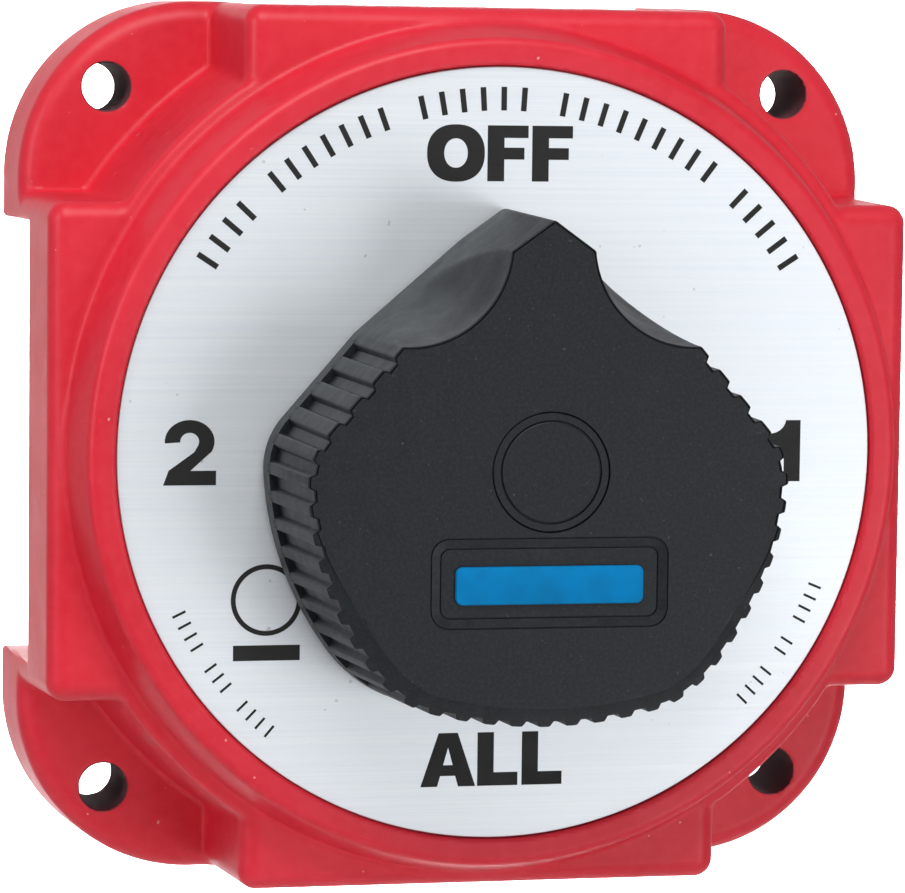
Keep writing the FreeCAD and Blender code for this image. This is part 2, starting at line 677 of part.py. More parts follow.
def make_spring():
    """Coil spring round the bearing hub, pressing the rotor onto the contacts."""
    seat = size("rotor_rear") + size("rotor_thick")
    body = new_body("contact_spring", seat)
    wire = size("spring_wire")
    profile = new_sketch(body, "wire_outline", role="XY_Plane")
    centre = (size("spring_radius"), -wire)
    index = profile.addGeometry(Part.Circle(V(centre[0], centre[1], 0), V(0, 0, 1), wire))
    profile.addConstraint(Sketcher.Constraint("Radius", index, wire))
    made = body.newObject("PartDesign::AdditiveHelix", "coil")
    made.Profile = profile
    made.ReferenceAxis = (profile, ["V_Axis"])
    made.Mode = "height-turns-angle"
    made.Reversed = True
    made.Turns = size("spring_turns")
    made.Height = size("chamber_front") - seat - size("spring_gap") - 2 * wire
    doc.recompute()


def strip_outline(sketch, angle, start):
    """A straight contact strip lying along one direction from the axis."""
    half, end = size("strip_half"), size("strip_end")
    ux, uz = polar(1.0, angle)
    corners = []
    for along, across in ((start, -half), (end, -half), (end, half), (start, half)):
        corners.append((along * ux - across * uz, along * uz + across * ux))
    add_polygon(sketch, corners)


def make_fixed_contact(name, angle):
    """One fixed contact strip on the board, with its raised pad or slip ring."""
    common = name == "common"
    body = new_body("contact_" + name, size("board_seat"))
    strip = new_sketch(body, "strip_outline")
    strip_outline(strip, angle, size("slip_inner") + 1.5 if common else size("strip_start"))
    add_circle(strip, polar(size("stud_ring"), angle), "stud_radius")
    pad(body, strip, "strip", "strip_thick")
    raised = new_sketch(body, "raised_outline")
    if common:
        add_circle(raised, (0, 0), "slip_outer")
        add_circle(raised, (0, 0), "slip_inner")
    else:
        add_circle(raised, polar(size("pad_ring"), angle), "pad_radius")
    pad(body, raised, "raised", "Dims.strip_thick + Dims.pad_high")


def make_stud(name, angle):
    """One terminal stud: hexagon head on the strip, shank through the board, plain lead-in end."""
    body = new_body("stud_" + name, size("stud_end"))
    centre = polar(size("stud_ring"), angle)
    strip_front = size("board_seat") + size("strip_thick")
    tip = ring_of_circles(body, "tip_circle", [centre], "stud_tip")
    pad(body, tip, "tip", "stud_tip_long")
    shank = new_sketch(body, "shank_circle", size("stud_tip_long"))
    add_circle(shank, centre, "stud_radius")
    pad(body, shank, "shank", "Dims.board_seat + Dims.strip_thick - Dims.stud_end - Dims.stud_tip_long")
    head = new_sketch(body, "head_outline", strip_front - size("stud_end"))
    hexagon(head, centre, size("stud_flats"))
    pad(body, head, "head", "stud_head")
    base = body.Tip
    lead = body.newObject("PartDesign::Chamfer", "lead")
    lead.Base = (base, ["Edge%d" % (i + 1) for i, edge in enumerate(base.Shape.Edges)
                        if abs(edge.BoundBox.YMax) < 0.01 and abs(edge.BoundBox.YMin) < 0.01])
    lead.Size = STUD_LEAD
    doc.recompute()


def stud_hardware(name, outline_name, rear, high_name):
    """Three equal washers or nuts, one at each stud."""
    body = new_body(name, rear)
    sketch = new_sketch(body, name + "_outline")
    for centre in STUDS:
        if outline_name == "hexagon":
            hexagon(sketch, centre, size("stud_flats"))
        else:
            add_circle(sketch, centre, outline_name)
        add_circle(sketch, centre, "stud_radius")
    pad(body, sketch, name + "_pad", high_name)


def make_stud_hardware():
    """Washers and nuts behind the board, from the board towards the wall."""
    rows = [("stud_flat_washers", "flat_radius", "flat_thick"),
            ("stud_lock_washers", "lock_radius", "lock_thick"),
            ("stud_clamp_nuts", "hexagon", "clamp_nut"),
            ("lug_lock_washers", "lock_radius", "lock_thick"),
            ("lug_nuts", "hexagon", "lug_nut")]
    rear = size("board_seat") - size("board_thick")
    for name, outline_name, high_name in rows:
        rear -= size(high_name)
        stud_hardware(name, outline_name, rear, high_name)


def make_board():
    """Insulating contact board closing the chamber from the rear."""
    body = new_body("contact_board", size("board_seat") - size("board_thick"))
    sketch = new_sketch(body, "board_outline")
    add_circle(sketch, (0, 0), "board_radius")
    add_circle(sketch, (0, 0), "board_bearing")
    for centre in SCREWS:
        add_circle(sketch, centre, "board_hole")
    for centre in STUDS:
        add_circle(sketch, centre, "stud_radius")
    pad(body, sketch, "board", "board_thick")


def make_board_screws():
    """Four pan head screws holding the board, heads to the rear."""
    seat = size("board_seat") - size("board_thick")
    body = new_body("board_screws", seat)
    shanks = ring_of_circles(body, "shank_circles", SCREWS, "screw_radius")
    pad(body, shanks, "shanks", "screw_long")
    heads = ring_of_circles(body, "head_circles", SCREWS, "screw_head")
    pad(body, heads, "heads", "screw_head_high").Reversed = True
    doc.recompute()


def export_parts():
    """Check every object and write one STEP file per piece."""
    doc.recompute()
    for item in doc.Objects:
        if "Invalid" in item.State or "Error" in item.State:
            raise RuntimeError(item.Label + " did not compute")
    os.makedirs("parts", exist_ok=True)
    for part in parts:
        shape = part.Shape
        if shape.isNull() or not shape.isValid():
            raise RuntimeError(part.Label + " has no valid shape")
        shape.exportStep("parts/%s.step" % part.Label)


make_housing()
make_plate()
make_board()
make_board_screws()
make_knob()
make_cap()
make_badge()
make_knob_screw()
make_shaft()
make_seal()
make_rotor()
make_bridge()
make_rivets()
make_spring()
for stud_name, stud_angle in STUD_ANGLES.items():
    make_fixed_contact(stud_name, stud_angle)
    make_stud(stud_name, stud_angle)
make_stud_hardware()
export_parts()
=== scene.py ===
import json
import math

import bmesh
import bpy
import numpy as np
from mathutils import Matrix, Vector


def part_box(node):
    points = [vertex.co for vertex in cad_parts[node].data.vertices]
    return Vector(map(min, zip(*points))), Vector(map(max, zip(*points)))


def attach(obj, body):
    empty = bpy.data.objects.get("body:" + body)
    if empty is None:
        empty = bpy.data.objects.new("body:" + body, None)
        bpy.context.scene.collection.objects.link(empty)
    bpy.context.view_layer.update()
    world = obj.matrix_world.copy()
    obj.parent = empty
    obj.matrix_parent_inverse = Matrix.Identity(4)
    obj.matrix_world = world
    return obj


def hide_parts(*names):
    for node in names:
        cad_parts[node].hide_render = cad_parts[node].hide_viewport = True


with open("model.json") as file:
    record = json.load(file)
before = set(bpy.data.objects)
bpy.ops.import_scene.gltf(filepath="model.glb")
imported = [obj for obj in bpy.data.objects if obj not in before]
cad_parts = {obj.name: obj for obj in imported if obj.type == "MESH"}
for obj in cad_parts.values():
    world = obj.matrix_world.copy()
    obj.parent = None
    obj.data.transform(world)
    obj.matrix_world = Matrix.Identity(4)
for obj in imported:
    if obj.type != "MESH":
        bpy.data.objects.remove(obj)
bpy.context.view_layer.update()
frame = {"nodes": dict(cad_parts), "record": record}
MM = 0.001
TAU = 2 * math.pi
CORNERS = ((-1, -1), (-1, 1), (1, -1), (1, 1))

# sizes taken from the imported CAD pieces, in mm
def cad(node):
    """A CAD node's lowest and highest corner in mm."""
    low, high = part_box(node)
    return low / MM, high / MM


HOUSING_LOW, HOUSING_HIGH = cad("housing")
PLATE_LOW, PLATE_HIGH = cad("dial_plate")
KNOB_LOW, KNOB_HIGH = cad("knob")
CAP_LOW, CAP_HIGH = cad("knob_cap")
BAR_LOW, BAR_HIGH = cad("knob_badge_bar")
BOARD_LOW, BOARD_HIGH = cad("contact_board")
HALF_WIDTH = HOUSING_HIGH.x
RING_FRONT = -HOUSING_LOW.y
PLATE_RADIUS = PLATE_HIGH.x
PLATE_FRONT = -PLATE_LOW.y
KNOB_FRONT = -KNOB_LOW.y
KNOB_REAR = -KNOB_HIGH.y
KNOB_TALL = KNOB_FRONT - KNOB_REAR
CAP_RADIUS = CAP_HIGH.x
HOLE_HALF = frame["record"]["mounts"][0]["dims"]["spacing_x_mm"] / 2
HOLE_RADIUS = frame["record"]["mounts"][0]["dims"]["hole_r_mm"]

# housing sizes the boxes don't give, in mm
DRAFT = math.tan(math.radians(1.8))
LOBE_TALL, LOBE_CORNER, LOBE_EDGE = 19.5, 32.0, 3.6
BLOCK_TALL, BLOCK_HALF, BLOCK_EDGE = 50.4, 45.2, 3.3
DRUM_EDGE, FOOT_FILL, CORNER_FILL, RING_FILL, RING_EDGE = 1.5, 1.1, 0.7, 0.9, 1.3
DRUM_FOOT, DRUM_TOP = 80.5, 77.8
RING_FOOT, RING_OUTER = 75.3, 72.5
WELL_RADIUS, CHAMBER_RADIUS, CHAMBER_FRONT = 72.5, 68.0, 54.0
SLOT_HALF, SLOT_ROOF = 39.6, 28.0
PLATE_SEAT, PLATE_GAP, PLATE_BORE = 59.2, 0.28, 12.5
BOARD_SEAT = -BOARD_LOW.y
BOSS_AT, BOSS_RADIUS = 66.0 * math.sqrt(0.5), 5.5
DRUM_INSET, SHAFT_BORE, HOLLOW_EDGE = 2.0, 7.0, 0.8


def link(mesh, name, body, material, slot, *replaced):
    """A finished mesh becomes a piece that rides on its body."""
    piece = bpy.data.objects.new(name, mesh)
    bpy.context.scene.collection.objects.link(piece)
    piece.data.materials.clear()
    piece.data.materials.append(material)
    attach(piece, body)
    if replaced:
        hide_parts(*replaced)
    return piece


def smooth(mesh, degrees=32.0):
    """Smooth shading that keeps edges sharper than the angle."""
    mesh.polygons.foreach_set("use_smooth", np.ones(len(mesh.polygons), bool))
    mesh.set_sharp_from_angle(angle=math.radians(degrees))
    mesh.update()


def mesh_from(name, points_mm, faces, degrees=32.0):
    """Mesh from points in mm and faces."""
    mesh = bpy.data.meshes.new(name)
    mesh.from_pydata([tuple(p) for p in np.asarray(points_mm, float) * MM], [], faces)
    mesh.validate()
    mesh.update()
    smooth(mesh, degrees)
    return mesh


def finished(bm, name, degrees=None):
    """The mesh of a bmesh with its normals outward, smooth below an angle if one is given."""
    bmesh.ops.recalc_face_normals(bm, faces=bm.faces)
    mesh = bpy.data.meshes.new(name)
    bm.to_mesh(mesh)
    bm.free()
    if degrees:
        smooth(mesh, degrees)
    return mesh


# ---- distance fields

def round_max(a, b, radius):
    """Where both hold, with the outer edge rounded."""
    return (np.minimum(np.maximum(a, b), -radius)
            + np.hypot(np.maximum(a + radius, 0), np.maximum(b + radius, 0)))


def round_min(a, b, radius):
    """Where either holds, with the inner corner filled."""
    return -round_max(-a, -b, radius)


def smoothstep(low, high, value):
    """0 below low, 1 above high, smooth between."""
    t = np.clip((value - low) / (high - low), 0, 1)
    return t * t * (3 - 2 * t)


def box_2d(x, z, half_x, half_z, corner):
    """Distance to a centred rectangle with rounded corners."""
    dx, dz = np.abs(x) - (half_x - corner), np.abs(z) - (half_z - corner)
    return np.hypot(np.maximum(dx, 0), np.maximum(dz, 0)) + np.minimum(np.maximum(dx, dz), 0) - corner


def housing_field(x, up, z):
    """Signed distance of the housing in mm; up is the height over the mounting face."""
    half = HALF_WIDTH - DRAFT * up
    arm = BLOCK_HALF - DRAFT * up
    radius = np.hypot(x, z)
    lobes = round_max(box_2d(x, z, half, half, LOBE_CORNER), up - LOBE_TALL, LOBE_EDGE)
    wide = box_2d(x, z, half, arm, BLOCK_EDGE)
    tall = box_2d(x, z, arm, half, BLOCK_EDGE)
    arms = round_min(wide, tall, CORNER_FILL)
    lean = (DRUM_FOOT - DRUM_TOP) / (BLOCK_TALL - LOBE_TALL)
    square = np.maximum(np.abs(x), np.abs(z))
    drum = np.maximum(radius - (DRUM_FOOT - lean * (up - LOBE_TALL)), square - (half - DRUM_INSET))
    edge = DRUM_EDGE + (BLOCK_EDGE - DRUM_EDGE) * smoothstep(-1.5, 1.5, drum - arms)
    blocks = round_max(round_min(arms, drum, CORNER_FILL), up - BLOCK_TALL, edge)
    body = np.maximum(round_min(lobes, blocks, FOOT_FILL), square - half)
    slope = (RING_FOOT - RING_OUTER) / (RING_FRONT - BLOCK_TALL)
    ring_side = radius - (RING_FOOT - slope * np.maximum(up - BLOCK_TALL, -2.0))
    body = round_min(body, round_max(ring_side, up - RING_FRONT, RING_EDGE), RING_FILL)
    body = round_max(body, -up, 0.6)
    pocket = np.maximum(radius - PLATE_RADIUS - PLATE_GAP, PLATE_SEAT - up)
    body = round_max(body, -pocket, 0.4)
    well = np.maximum(radius - WELL_RADIUS, up - BOARD_SEAT)
    chamber = np.maximum(radius - CHAMBER_RADIUS, up - CHAMBER_FRONT)
    for sx, sz in CORNERS:
        boss = np.hypot(x - sx * BOSS_AT, z - sz * BOSS_AT) - BOSS_RADIUS
        chamber = np.maximum(chamber, -np.maximum(boss, BOARD_SEAT - up))
    slots = np.minimum(np.maximum(np.abs(z) - SLOT_HALF, up - SLOT_ROOF),
                       np.maximum(np.abs(x) - SLOT_HALF, up - SLOT_ROOF))
    hollow = np.minimum(np.minimum(well, chamber), slots)
    body = round_max(body, -hollow, HOLLOW_EDGE)
    body = np.maximum(body, SHAFT_BORE - radius)
    for sx, sz in CORNERS:
        hole = np.hypot(x - sx * HOLE_HALF, z - sz * HOLE_HALF) - HOLE_RADIUS
        body = round_max(body, -hole, 0.5)
    return body


def gradient(field, points):
    """Unit outward direction of a field at points."""
    h = 0.01
    slope = np.stack([field(*(points + h * e).T) - field(*(points - h * e).T) for e in np.eye(3)], 1)
    return slope / np.maximum(np.linalg.norm(slope, axis=1), 1e-9)[:, None]


def contour(field, step, low, counts):
    """Quad mesh of a field's zero surface, with each point on the edges and corners in its cell."""
    axes = [(low[i] + step * np.arange(counts[i])).astype(np.float32) for i in range(3)]
    values = field(*np.meshgrid(*axes, indexing="ij", sparse=True))
    inside = values < 0
    cells = np.array(counts) - 1
    strides = np.array([cells[1] * cells[2], cells[2], 1])
    found = []
    for axis in range(3):
        first, second = [slice(None)] * 3, [slice(None)] * 3
        first[axis], second[axis] = slice(0, -1), slice(1, None)
        crossed = inside[tuple(first)] != inside[tuple(second)]
        where = np.argwhere(crossed)
        a, b = values[tuple(first)][crossed], values[tuple(second)][crossed]
        place = where * step + np.array(low)
        place[:, axis] += step * a / (a - b)
        others = [i for i in range(3) if i != axis]
        around = []
        for da, db in ((0, 0), (1, 0), (1, 1), (0, 1)):
            cell = where.copy()
            cell[:, others[0]] -= da
            cell[:, others[1]] -= db
            around.append((cell * strides).sum(1))
        starts_in = inside[tuple(first)][crossed]
        found.append((place, gradient(field, place), np.stack(around, 1), starts_in, axis))
    keys = np.unique(np.concatenate([f[2].ravel() for f in found]))
    total = len(keys)
    sums = np.zeros((13, total))
    quads = []
    for place, normal, around, starts_in, axis in found:
        corner = np.searchsorted(keys, around)
        dot = (normal * place).sum(1)
        rows = [np.ones(len(place)), *place.T, *(normal.T * dot)]
        rows += [normal[:, i] * normal[:, j] for i, j in ((0, 0), (0, 1), (0, 2), (1, 1), (1, 2), (2, 2))]
        for k in range(4):
            for r, row in enumerate(rows):
                sums[r] += np.bincount(corner[:, k], row, total)
        flip = starts_in ^ (axis == 1)
        corner[flip] = corner[flip][:, ::-1]
        quads.append(corner)
    count, mass = sums[0], sums[1:4] / sums[0]
    n = sums[7:13]
    matrix = np.empty((total, 3, 3))
    for k, (i, j) in enumerate(((0, 0), (0, 1), (0, 2), (1, 1), (1, 2), (2, 2))):
        matrix[:, i, j] = matrix[:, j, i] = n[k]
    right = sums[4:7].T - np.einsum("nij,jn->ni", matrix, mass)
    matrix += (0.05 * count)[:, None, None] * np.eye(3)
    move = np.linalg.solve(matrix, right[:, :, None])[:, :, 0]
    reach = 0.75 * step
    points = mass.T + np.clip(move, -reach, reach)
    return points, np.concatenate(quads)


def fast_mesh(name, points_mm, quads, degrees=32.0):
    """Mesh from arrays."""
    mesh = bpy.data.meshes.new(name)
    mesh.vertices.add(len(points_mm))
    mesh.vertices.foreach_set("co", (points_mm * MM).ravel())
    mesh.loops.add(quads.size)
    mesh.loops.foreach_set("vertex_index", quads.ravel().astype(np.int32))
    mesh.polygons.add(len(quads))
    mesh.polygons.foreach_set("loop_start", (np.arange(len(quads)) * 4).astype(np.int32))
    mesh.update(calc_edges=True)
    mesh.validate()
    smooth(mesh, degrees)
    return mesh


def make_housing(material):
    """Moulded housing with rounded and blended edges."""
    step = 0.6
    edge = HALF_WIDTH + 2 * step
    wide = 2 * int(math.ceil(edge / step)) + 1
    low = (-step * (wide // 2), -2.5 * step, -step * (wide // 2))
    tall = int(math.ceil((RING_FRONT + 5 * step) / step)) + 1
    points, quads = contour(housing_field, step, low, (wide, tall, wide))
    points[:, 1] *= -1
    points = np.clip(points, tuple(HOUSING_LOW), tuple(HOUSING_HIGH))
    mesh = fast_mesh("housing_shell", points, quads[:, ::-1])
    return link(mesh, "housing_shell", "base", material, "red_plastic", "housing")


# ---- turned pieces

def lathe_data(profile, segments=128, centre=(0.0, 0.0), closed=True):
    """Points and faces of a profile turned about the switch axis; profile is (radius, height) in mm."""
    points, rows = [], []
    for radius, height in profile:
        if radius < 1e-6:
            rows.append([len(points)] * segments)
            points.append((centre[0], -height, centre[1]))
            continue
        row = []
        for k in range(segments):
            turn = TAU * k / segments
            row.append(len(points))
            points.append((centre[0] + radius * math.cos(turn), -height, centre[1] + radius * math.sin(turn)))
        rows.append(row)
    faces = []
    pairs = list(zip(rows, rows[1:] + rows[:1])) if closed else list(zip(rows, rows[1:]))
    for a, b in pairs:
        for k in range(segments):
            j = (k + 1) % segments
            corners = []
            for v in (a[k], a[j], b[j], b[k]):
                if v not in corners:
                    corners.append(v)
            if len(corners) > 2:
                faces.append(corners)
    return points, faces


def merge(parts):
    """Several point and face lists as one."""
    points, faces = [], []
    for more_points, more_faces in parts:
        start = len(points)
        points.extend(more_points)
        faces.extend([[start + v for v in face] for face in more_faces])
    return points, faces


def lathe(name, profile, segments=128, centre=(0.0, 0.0), closed=True, degrees=32.0):
    """A turned mesh."""
    points, faces = lathe_data(profile, segments, centre, closed)
    return mesh_from(name, points, faces, degrees)


# ---- knob

TIP = (0.0, 42.2)
SHOULDER = (7.4, 36.9)
GRIP_START = (26.0, 20.8)
GRIP_BEND = (38.2, 6.7)
GRIP_SIDE = (40.9, 2.2)
GRIP_WIDEST = (41.5, -2.6)
GRIP_LOWER = (37.9, -19.2)
CORNER_START = (31.1, -31.8)
CORNER_MID = (26.8, -36.7)
CORNER_END = (21.5, -40.2)
BOTTOM = (0.0, -43.25)
SCOOP_AT, SCOOP_RADIUS, SCOOP_DEEP, SCOOP_SOFT = (24.7, 38.5), 17.5, 35.5, 1.6
GROOVE_FIRST, UPPER_PITCH, UPPER_GROOVES, LOWER_GROOVES = 3.3, 5.7, 3, 15
GROOVE_DEEP, GROOVE_FLOOR, GROOVE_TOP = 1.0, 0.95, 1.45
GROOVE_STOP, GROOVE_SOFT, GROOVE_PLUMB = 5.0, 0.22, 0.3


def arc_through(a, b, c, step):
    """Points from a to c on the circle through a, b and c."""
    ax, ay, bx, by, cx, cy = *a, *b, *c
    d = 2 * (ax * (by - cy) + bx * (cy - ay) + cx * (ay - by))
    aa, bb, cc = ax * ax + ay * ay, bx * bx + by * by, cx * cx + cy * cy
    ux = (aa * (by - cy) + bb * (cy - ay) + cc * (ay - by)) / d
    uy = (aa * (cx - bx) + bb * (ax - cx) + cc * (bx - ax)) / d
    r = math.hypot(ax - ux, ay - uy)
    t0, t1, t2 = (math.atan2(q[1] - uy, q[0] - ux) for q in (a, b, c))
    sweep = (t2 - t0) % TAU
    if (t1 - t0) % TAU > sweep:
        sweep -= TAU
    count = max(2, int(abs(sweep) * r / step))
    return [(ux + r * math.cos(t0 + sweep * k / count), uy + r * math.sin(t0 + sweep * k / count))
            for k in range(count + 1)]


def line_points(a, b, step):
    """Evenly stepped points from a to b."""
    count = max(1, int(math.dist(a, b) / step))
    return [(a[0] + (b[0] - a[0]) * k / count, a[1] + (b[1] - a[1]) * k / count) for k in range(count + 1)]


def rounded_corner(a, corner, b, radius, step):
    """The two tangent points and the arc that round a corner."""
    va = Vector(a) - Vector(corner)
    vb = Vector(b) - Vector(corner)
    va.normalize()
    vb.normalize()
    half = math.acos(max(-1, min(1, va.dot(vb)))) / 2
    cut = radius / math.tan(half)
    middle = Vector(corner) + (va + vb).normalized() * (radius / math.sin(half) - radius)
    start, end = Vector(corner) + va * cut, Vector(corner) + vb * cut
    return arc_through(tuple(start), tuple(middle), tuple(end), step)


def knob_outline(step):
    """The closed front outline, clockwise from the tip."""
    tip_arc = rounded_corner((-SHOULDER[0], SHOULDER[1]), TIP, SHOULDER, 0.7, step / 3)
    half_tip = tip_arc[len(tip_arc) // 2:]
    shoulder = rounded_corner(half_tip[-1], SHOULDER, GRIP_START, 0.9, step / 3)
    right = half_tip + line_points(half_tip[-1], shoulder[0], step)[1:] + shoulder[1:]
    right += line_points(shoulder[-1], GRIP_START, step)[1:]
    grip = line_points(GRIP_START, GRIP_BEND, step)[1:]
    grip += arc_through(GRIP_BEND, GRIP_SIDE, GRIP_WIDEST, step)[1:]
    grip += arc_through(GRIP_WIDEST, GRIP_LOWER, CORNER_START, step)[1:]
    grip += arc_through(CORNER_START, CORNER_MID, CORNER_END, step)[1:]
    across = arc_through(CORNER_END, BOTTOM, (-CORNER_END[0], CORNER_END[1]), step)[1:]
    half = across[:len(across) // 2 + 1]
    points = right + grip + half
    mirrored = [(-x, z) for x, z in points[::-1]]
    return np.array(points + mirrored[1:-1])


def ring_length(points):
    """A closed polyline with its first point repeated, and the distance along it at each point."""
    ring = np.vstack([points, points[:1]])
    return ring, np.concatenate([[0], np.cumsum(np.linalg.norm(np.diff(ring, axis=0), axis=1))])


def resample(values, along, places):
    """Pairs of values given along a closed polyline, at other distances along it."""
    return np.stack([np.interp(np.mod(places, along[-1]), along, values[:, i]) for i in range(2)], 1)


def normals_2d(points):
    """Outward miter normals of a clockwise closed polyline."""
    after = np.roll(points, -1, 0) - points
    before = points - np.roll(points, 1, 0)
    after /= np.maximum(np.linalg.norm(after, axis=1), 1e-9)[:, None]
    before /= np.maximum(np.linalg.norm(before, axis=1), 1e-9)[:, None]
    na = np.stack([-after[:, 1], after[:, 0]], 1)
    nb = np.stack([-before[:, 1], before[:, 0]], 1)
    both = na + nb
    both /= np.maximum((1 + (na * nb).sum(1)), 0.2)[:, None]
    return both


def groove_depth(away):
    """Depth of a groove at a distance from its middle, with rounded outer corners."""
    rise = (GROOVE_TOP - away) * GROOVE_DEEP / (GROOVE_TOP - GROOVE_FLOOR)
    return np.minimum(GROOVE_DEEP, (rise + np.hypot(rise, GROOVE_SOFT)) / 2)


def knob_samples():
    """Points along the outline with their normals and groove depths, closer together at the grooves."""
    base = knob_outline(0.3)
    ring, along = ring_length(base)
    total = along[-1]
    start = along[np.argmin(np.hypot(base[:, 0] - GRIP_START[0], base[:, 1] - GRIP_START[1]))]
    lower = start + GROOVE_FIRST + UPPER_GROOVES * UPPER_PITCH
    pitch = (total / 2 - lower) / (LOWER_GROOVES + 0.5)
    middles = [start + GROOVE_FIRST + UPPER_PITCH * k for k in range(UPPER_GROOVES)]
    middles += [lower + pitch * k for k in range(LOWER_GROOVES + 1)]
    middles = np.array(middles + [total - m for m in middles])
    steps = np.array([0, 0.5, 0.85, 0.94, 0.97, 1.1, 1.2, 1.3, 1.37, 1.44, 1.52, 1.62, 1.8, 2.0])
    closer = (middles[:, None] + np.concatenate([-steps[:0:-1], steps])).ravel()
    away = np.abs(along[:-1, None] - middles).min(1)
    places = np.unique(np.round(np.concatenate([along[:-1][away > 2.1], closer]), 4))
    depth = groove_depth(np.abs(places[:, None] - middles).min(1))
    depth[depth < 0.004] = 0
    outward = normals_2d(base)
    normal = resample(np.vstack([outward, outward[:1]]), along, places)
    return resample(ring, along, places), normal, depth


def scoop_push(points, normal, up):
    """How far each point moves inward to lie on a finger scoop's surface."""
    push = np.zeros(len(points))
    for side in (-1, 1):
        p = points - np.array([side * SCOOP_AT[0], SCOOP_AT[1]])
        reach = SCOOP_RADIUS ** 2 * (1 - ((up - KNOB_TALL) / SCOOP_DEEP) ** 2)
        n = normal / np.linalg.norm(normal, axis=1)[:, None]
        dot = (p * n).sum(1)
        gap = reach - (p ** 2).sum(1)
        push = np.maximum(push, np.where(gap > 0, dot + np.sqrt(np.maximum(dot ** 2 + gap, 0)), 0))
    soft = SCOOP_SOFT * smoothstep(1.0, 12.0, KNOB_TALL - up)
    return push * push / (push + soft + 1e-9)


def rounded_rect(left, right, low, high, corner, steps=8):
    """Loop of a rectangle with rounded corners, counter-clockwise."""
    loop = []
    for cx, cz, turn in ((right - corner, low + corner, -90), (right - corner, high - corner, 0),
                         (left + corner, high - corner, 90), (left + corner, low + corner, 180)):
        for k in range(steps + 1):
            a = math.radians(turn + 90 * k / steps)
            loop.append((cx + corner * math.cos(a), cz + corner * math.sin(a)))
    return loop


def circle_loop(radius, segments=128, centre=(0.0, 0.0)):
    """Loop of a circle."""
    turns = [TAU * k / segments for k in range(segments)]
    return [(centre[0] + radius * math.cos(t), centre[1] + radius * math.sin(t)) for t in turns]


def add_loop(bm, loop, front):
    """Loop of points at one depth (mm forward of the mounting face) as vertices."""
    return [bm.verts.new((x * MM, -front * MM, z * MM)) for x, z in loop]


def bridge(bm, a, b):
    """Faces between two equal loops."""
    for k in range(len(a)):
        j = (k + 1) % len(a)
        bm.faces.new((a[k], a[j], b[j], b[k]))


def fill(bm, loops):
    """Flat faces between closed loops."""
    edges = []
    for loop in loops:
        for k in range(len(loop)):
            j = (k + 1) % len(loop)
            edge = bm.edges.get((loop[k], loop[j])) or bm.edges.new((loop[k], loop[j]))
            edges.append(edge)
    return bmesh.ops.triangle_fill(bm, use_beauty=True, edges=edges)


PANEL = (-20.6, 20.6, -26.3, -10.9)
PANEL_CORNER = 3.2
PANEL_STEPS = ((0, 0), (0.05, 0.35), (0.19, 0.35), (0.27, 0.06),
               (1.7, 0.46), (1.76, 0.8), (1.9, 0.8), (1.98, 0.5))
CREASE_IN, CREASE_WIDE, CREASE_DEEP = 0.3, 0.16, 0.4
BEVEL_WIDE, BEVEL_DROP, KNOB_EDGE = 3.0, 2.4, 0.22
CAP_GAP, CAP_SEAT, SCREW_BORE = 0.12, 2.0, 6.2
HOLLOW_ROWS = ((24.0, 0.0), (24.0, 26.0), (12.0, 26.0), (12.0, 0.0), (6.0, 0.0), (6.0, 25.7))


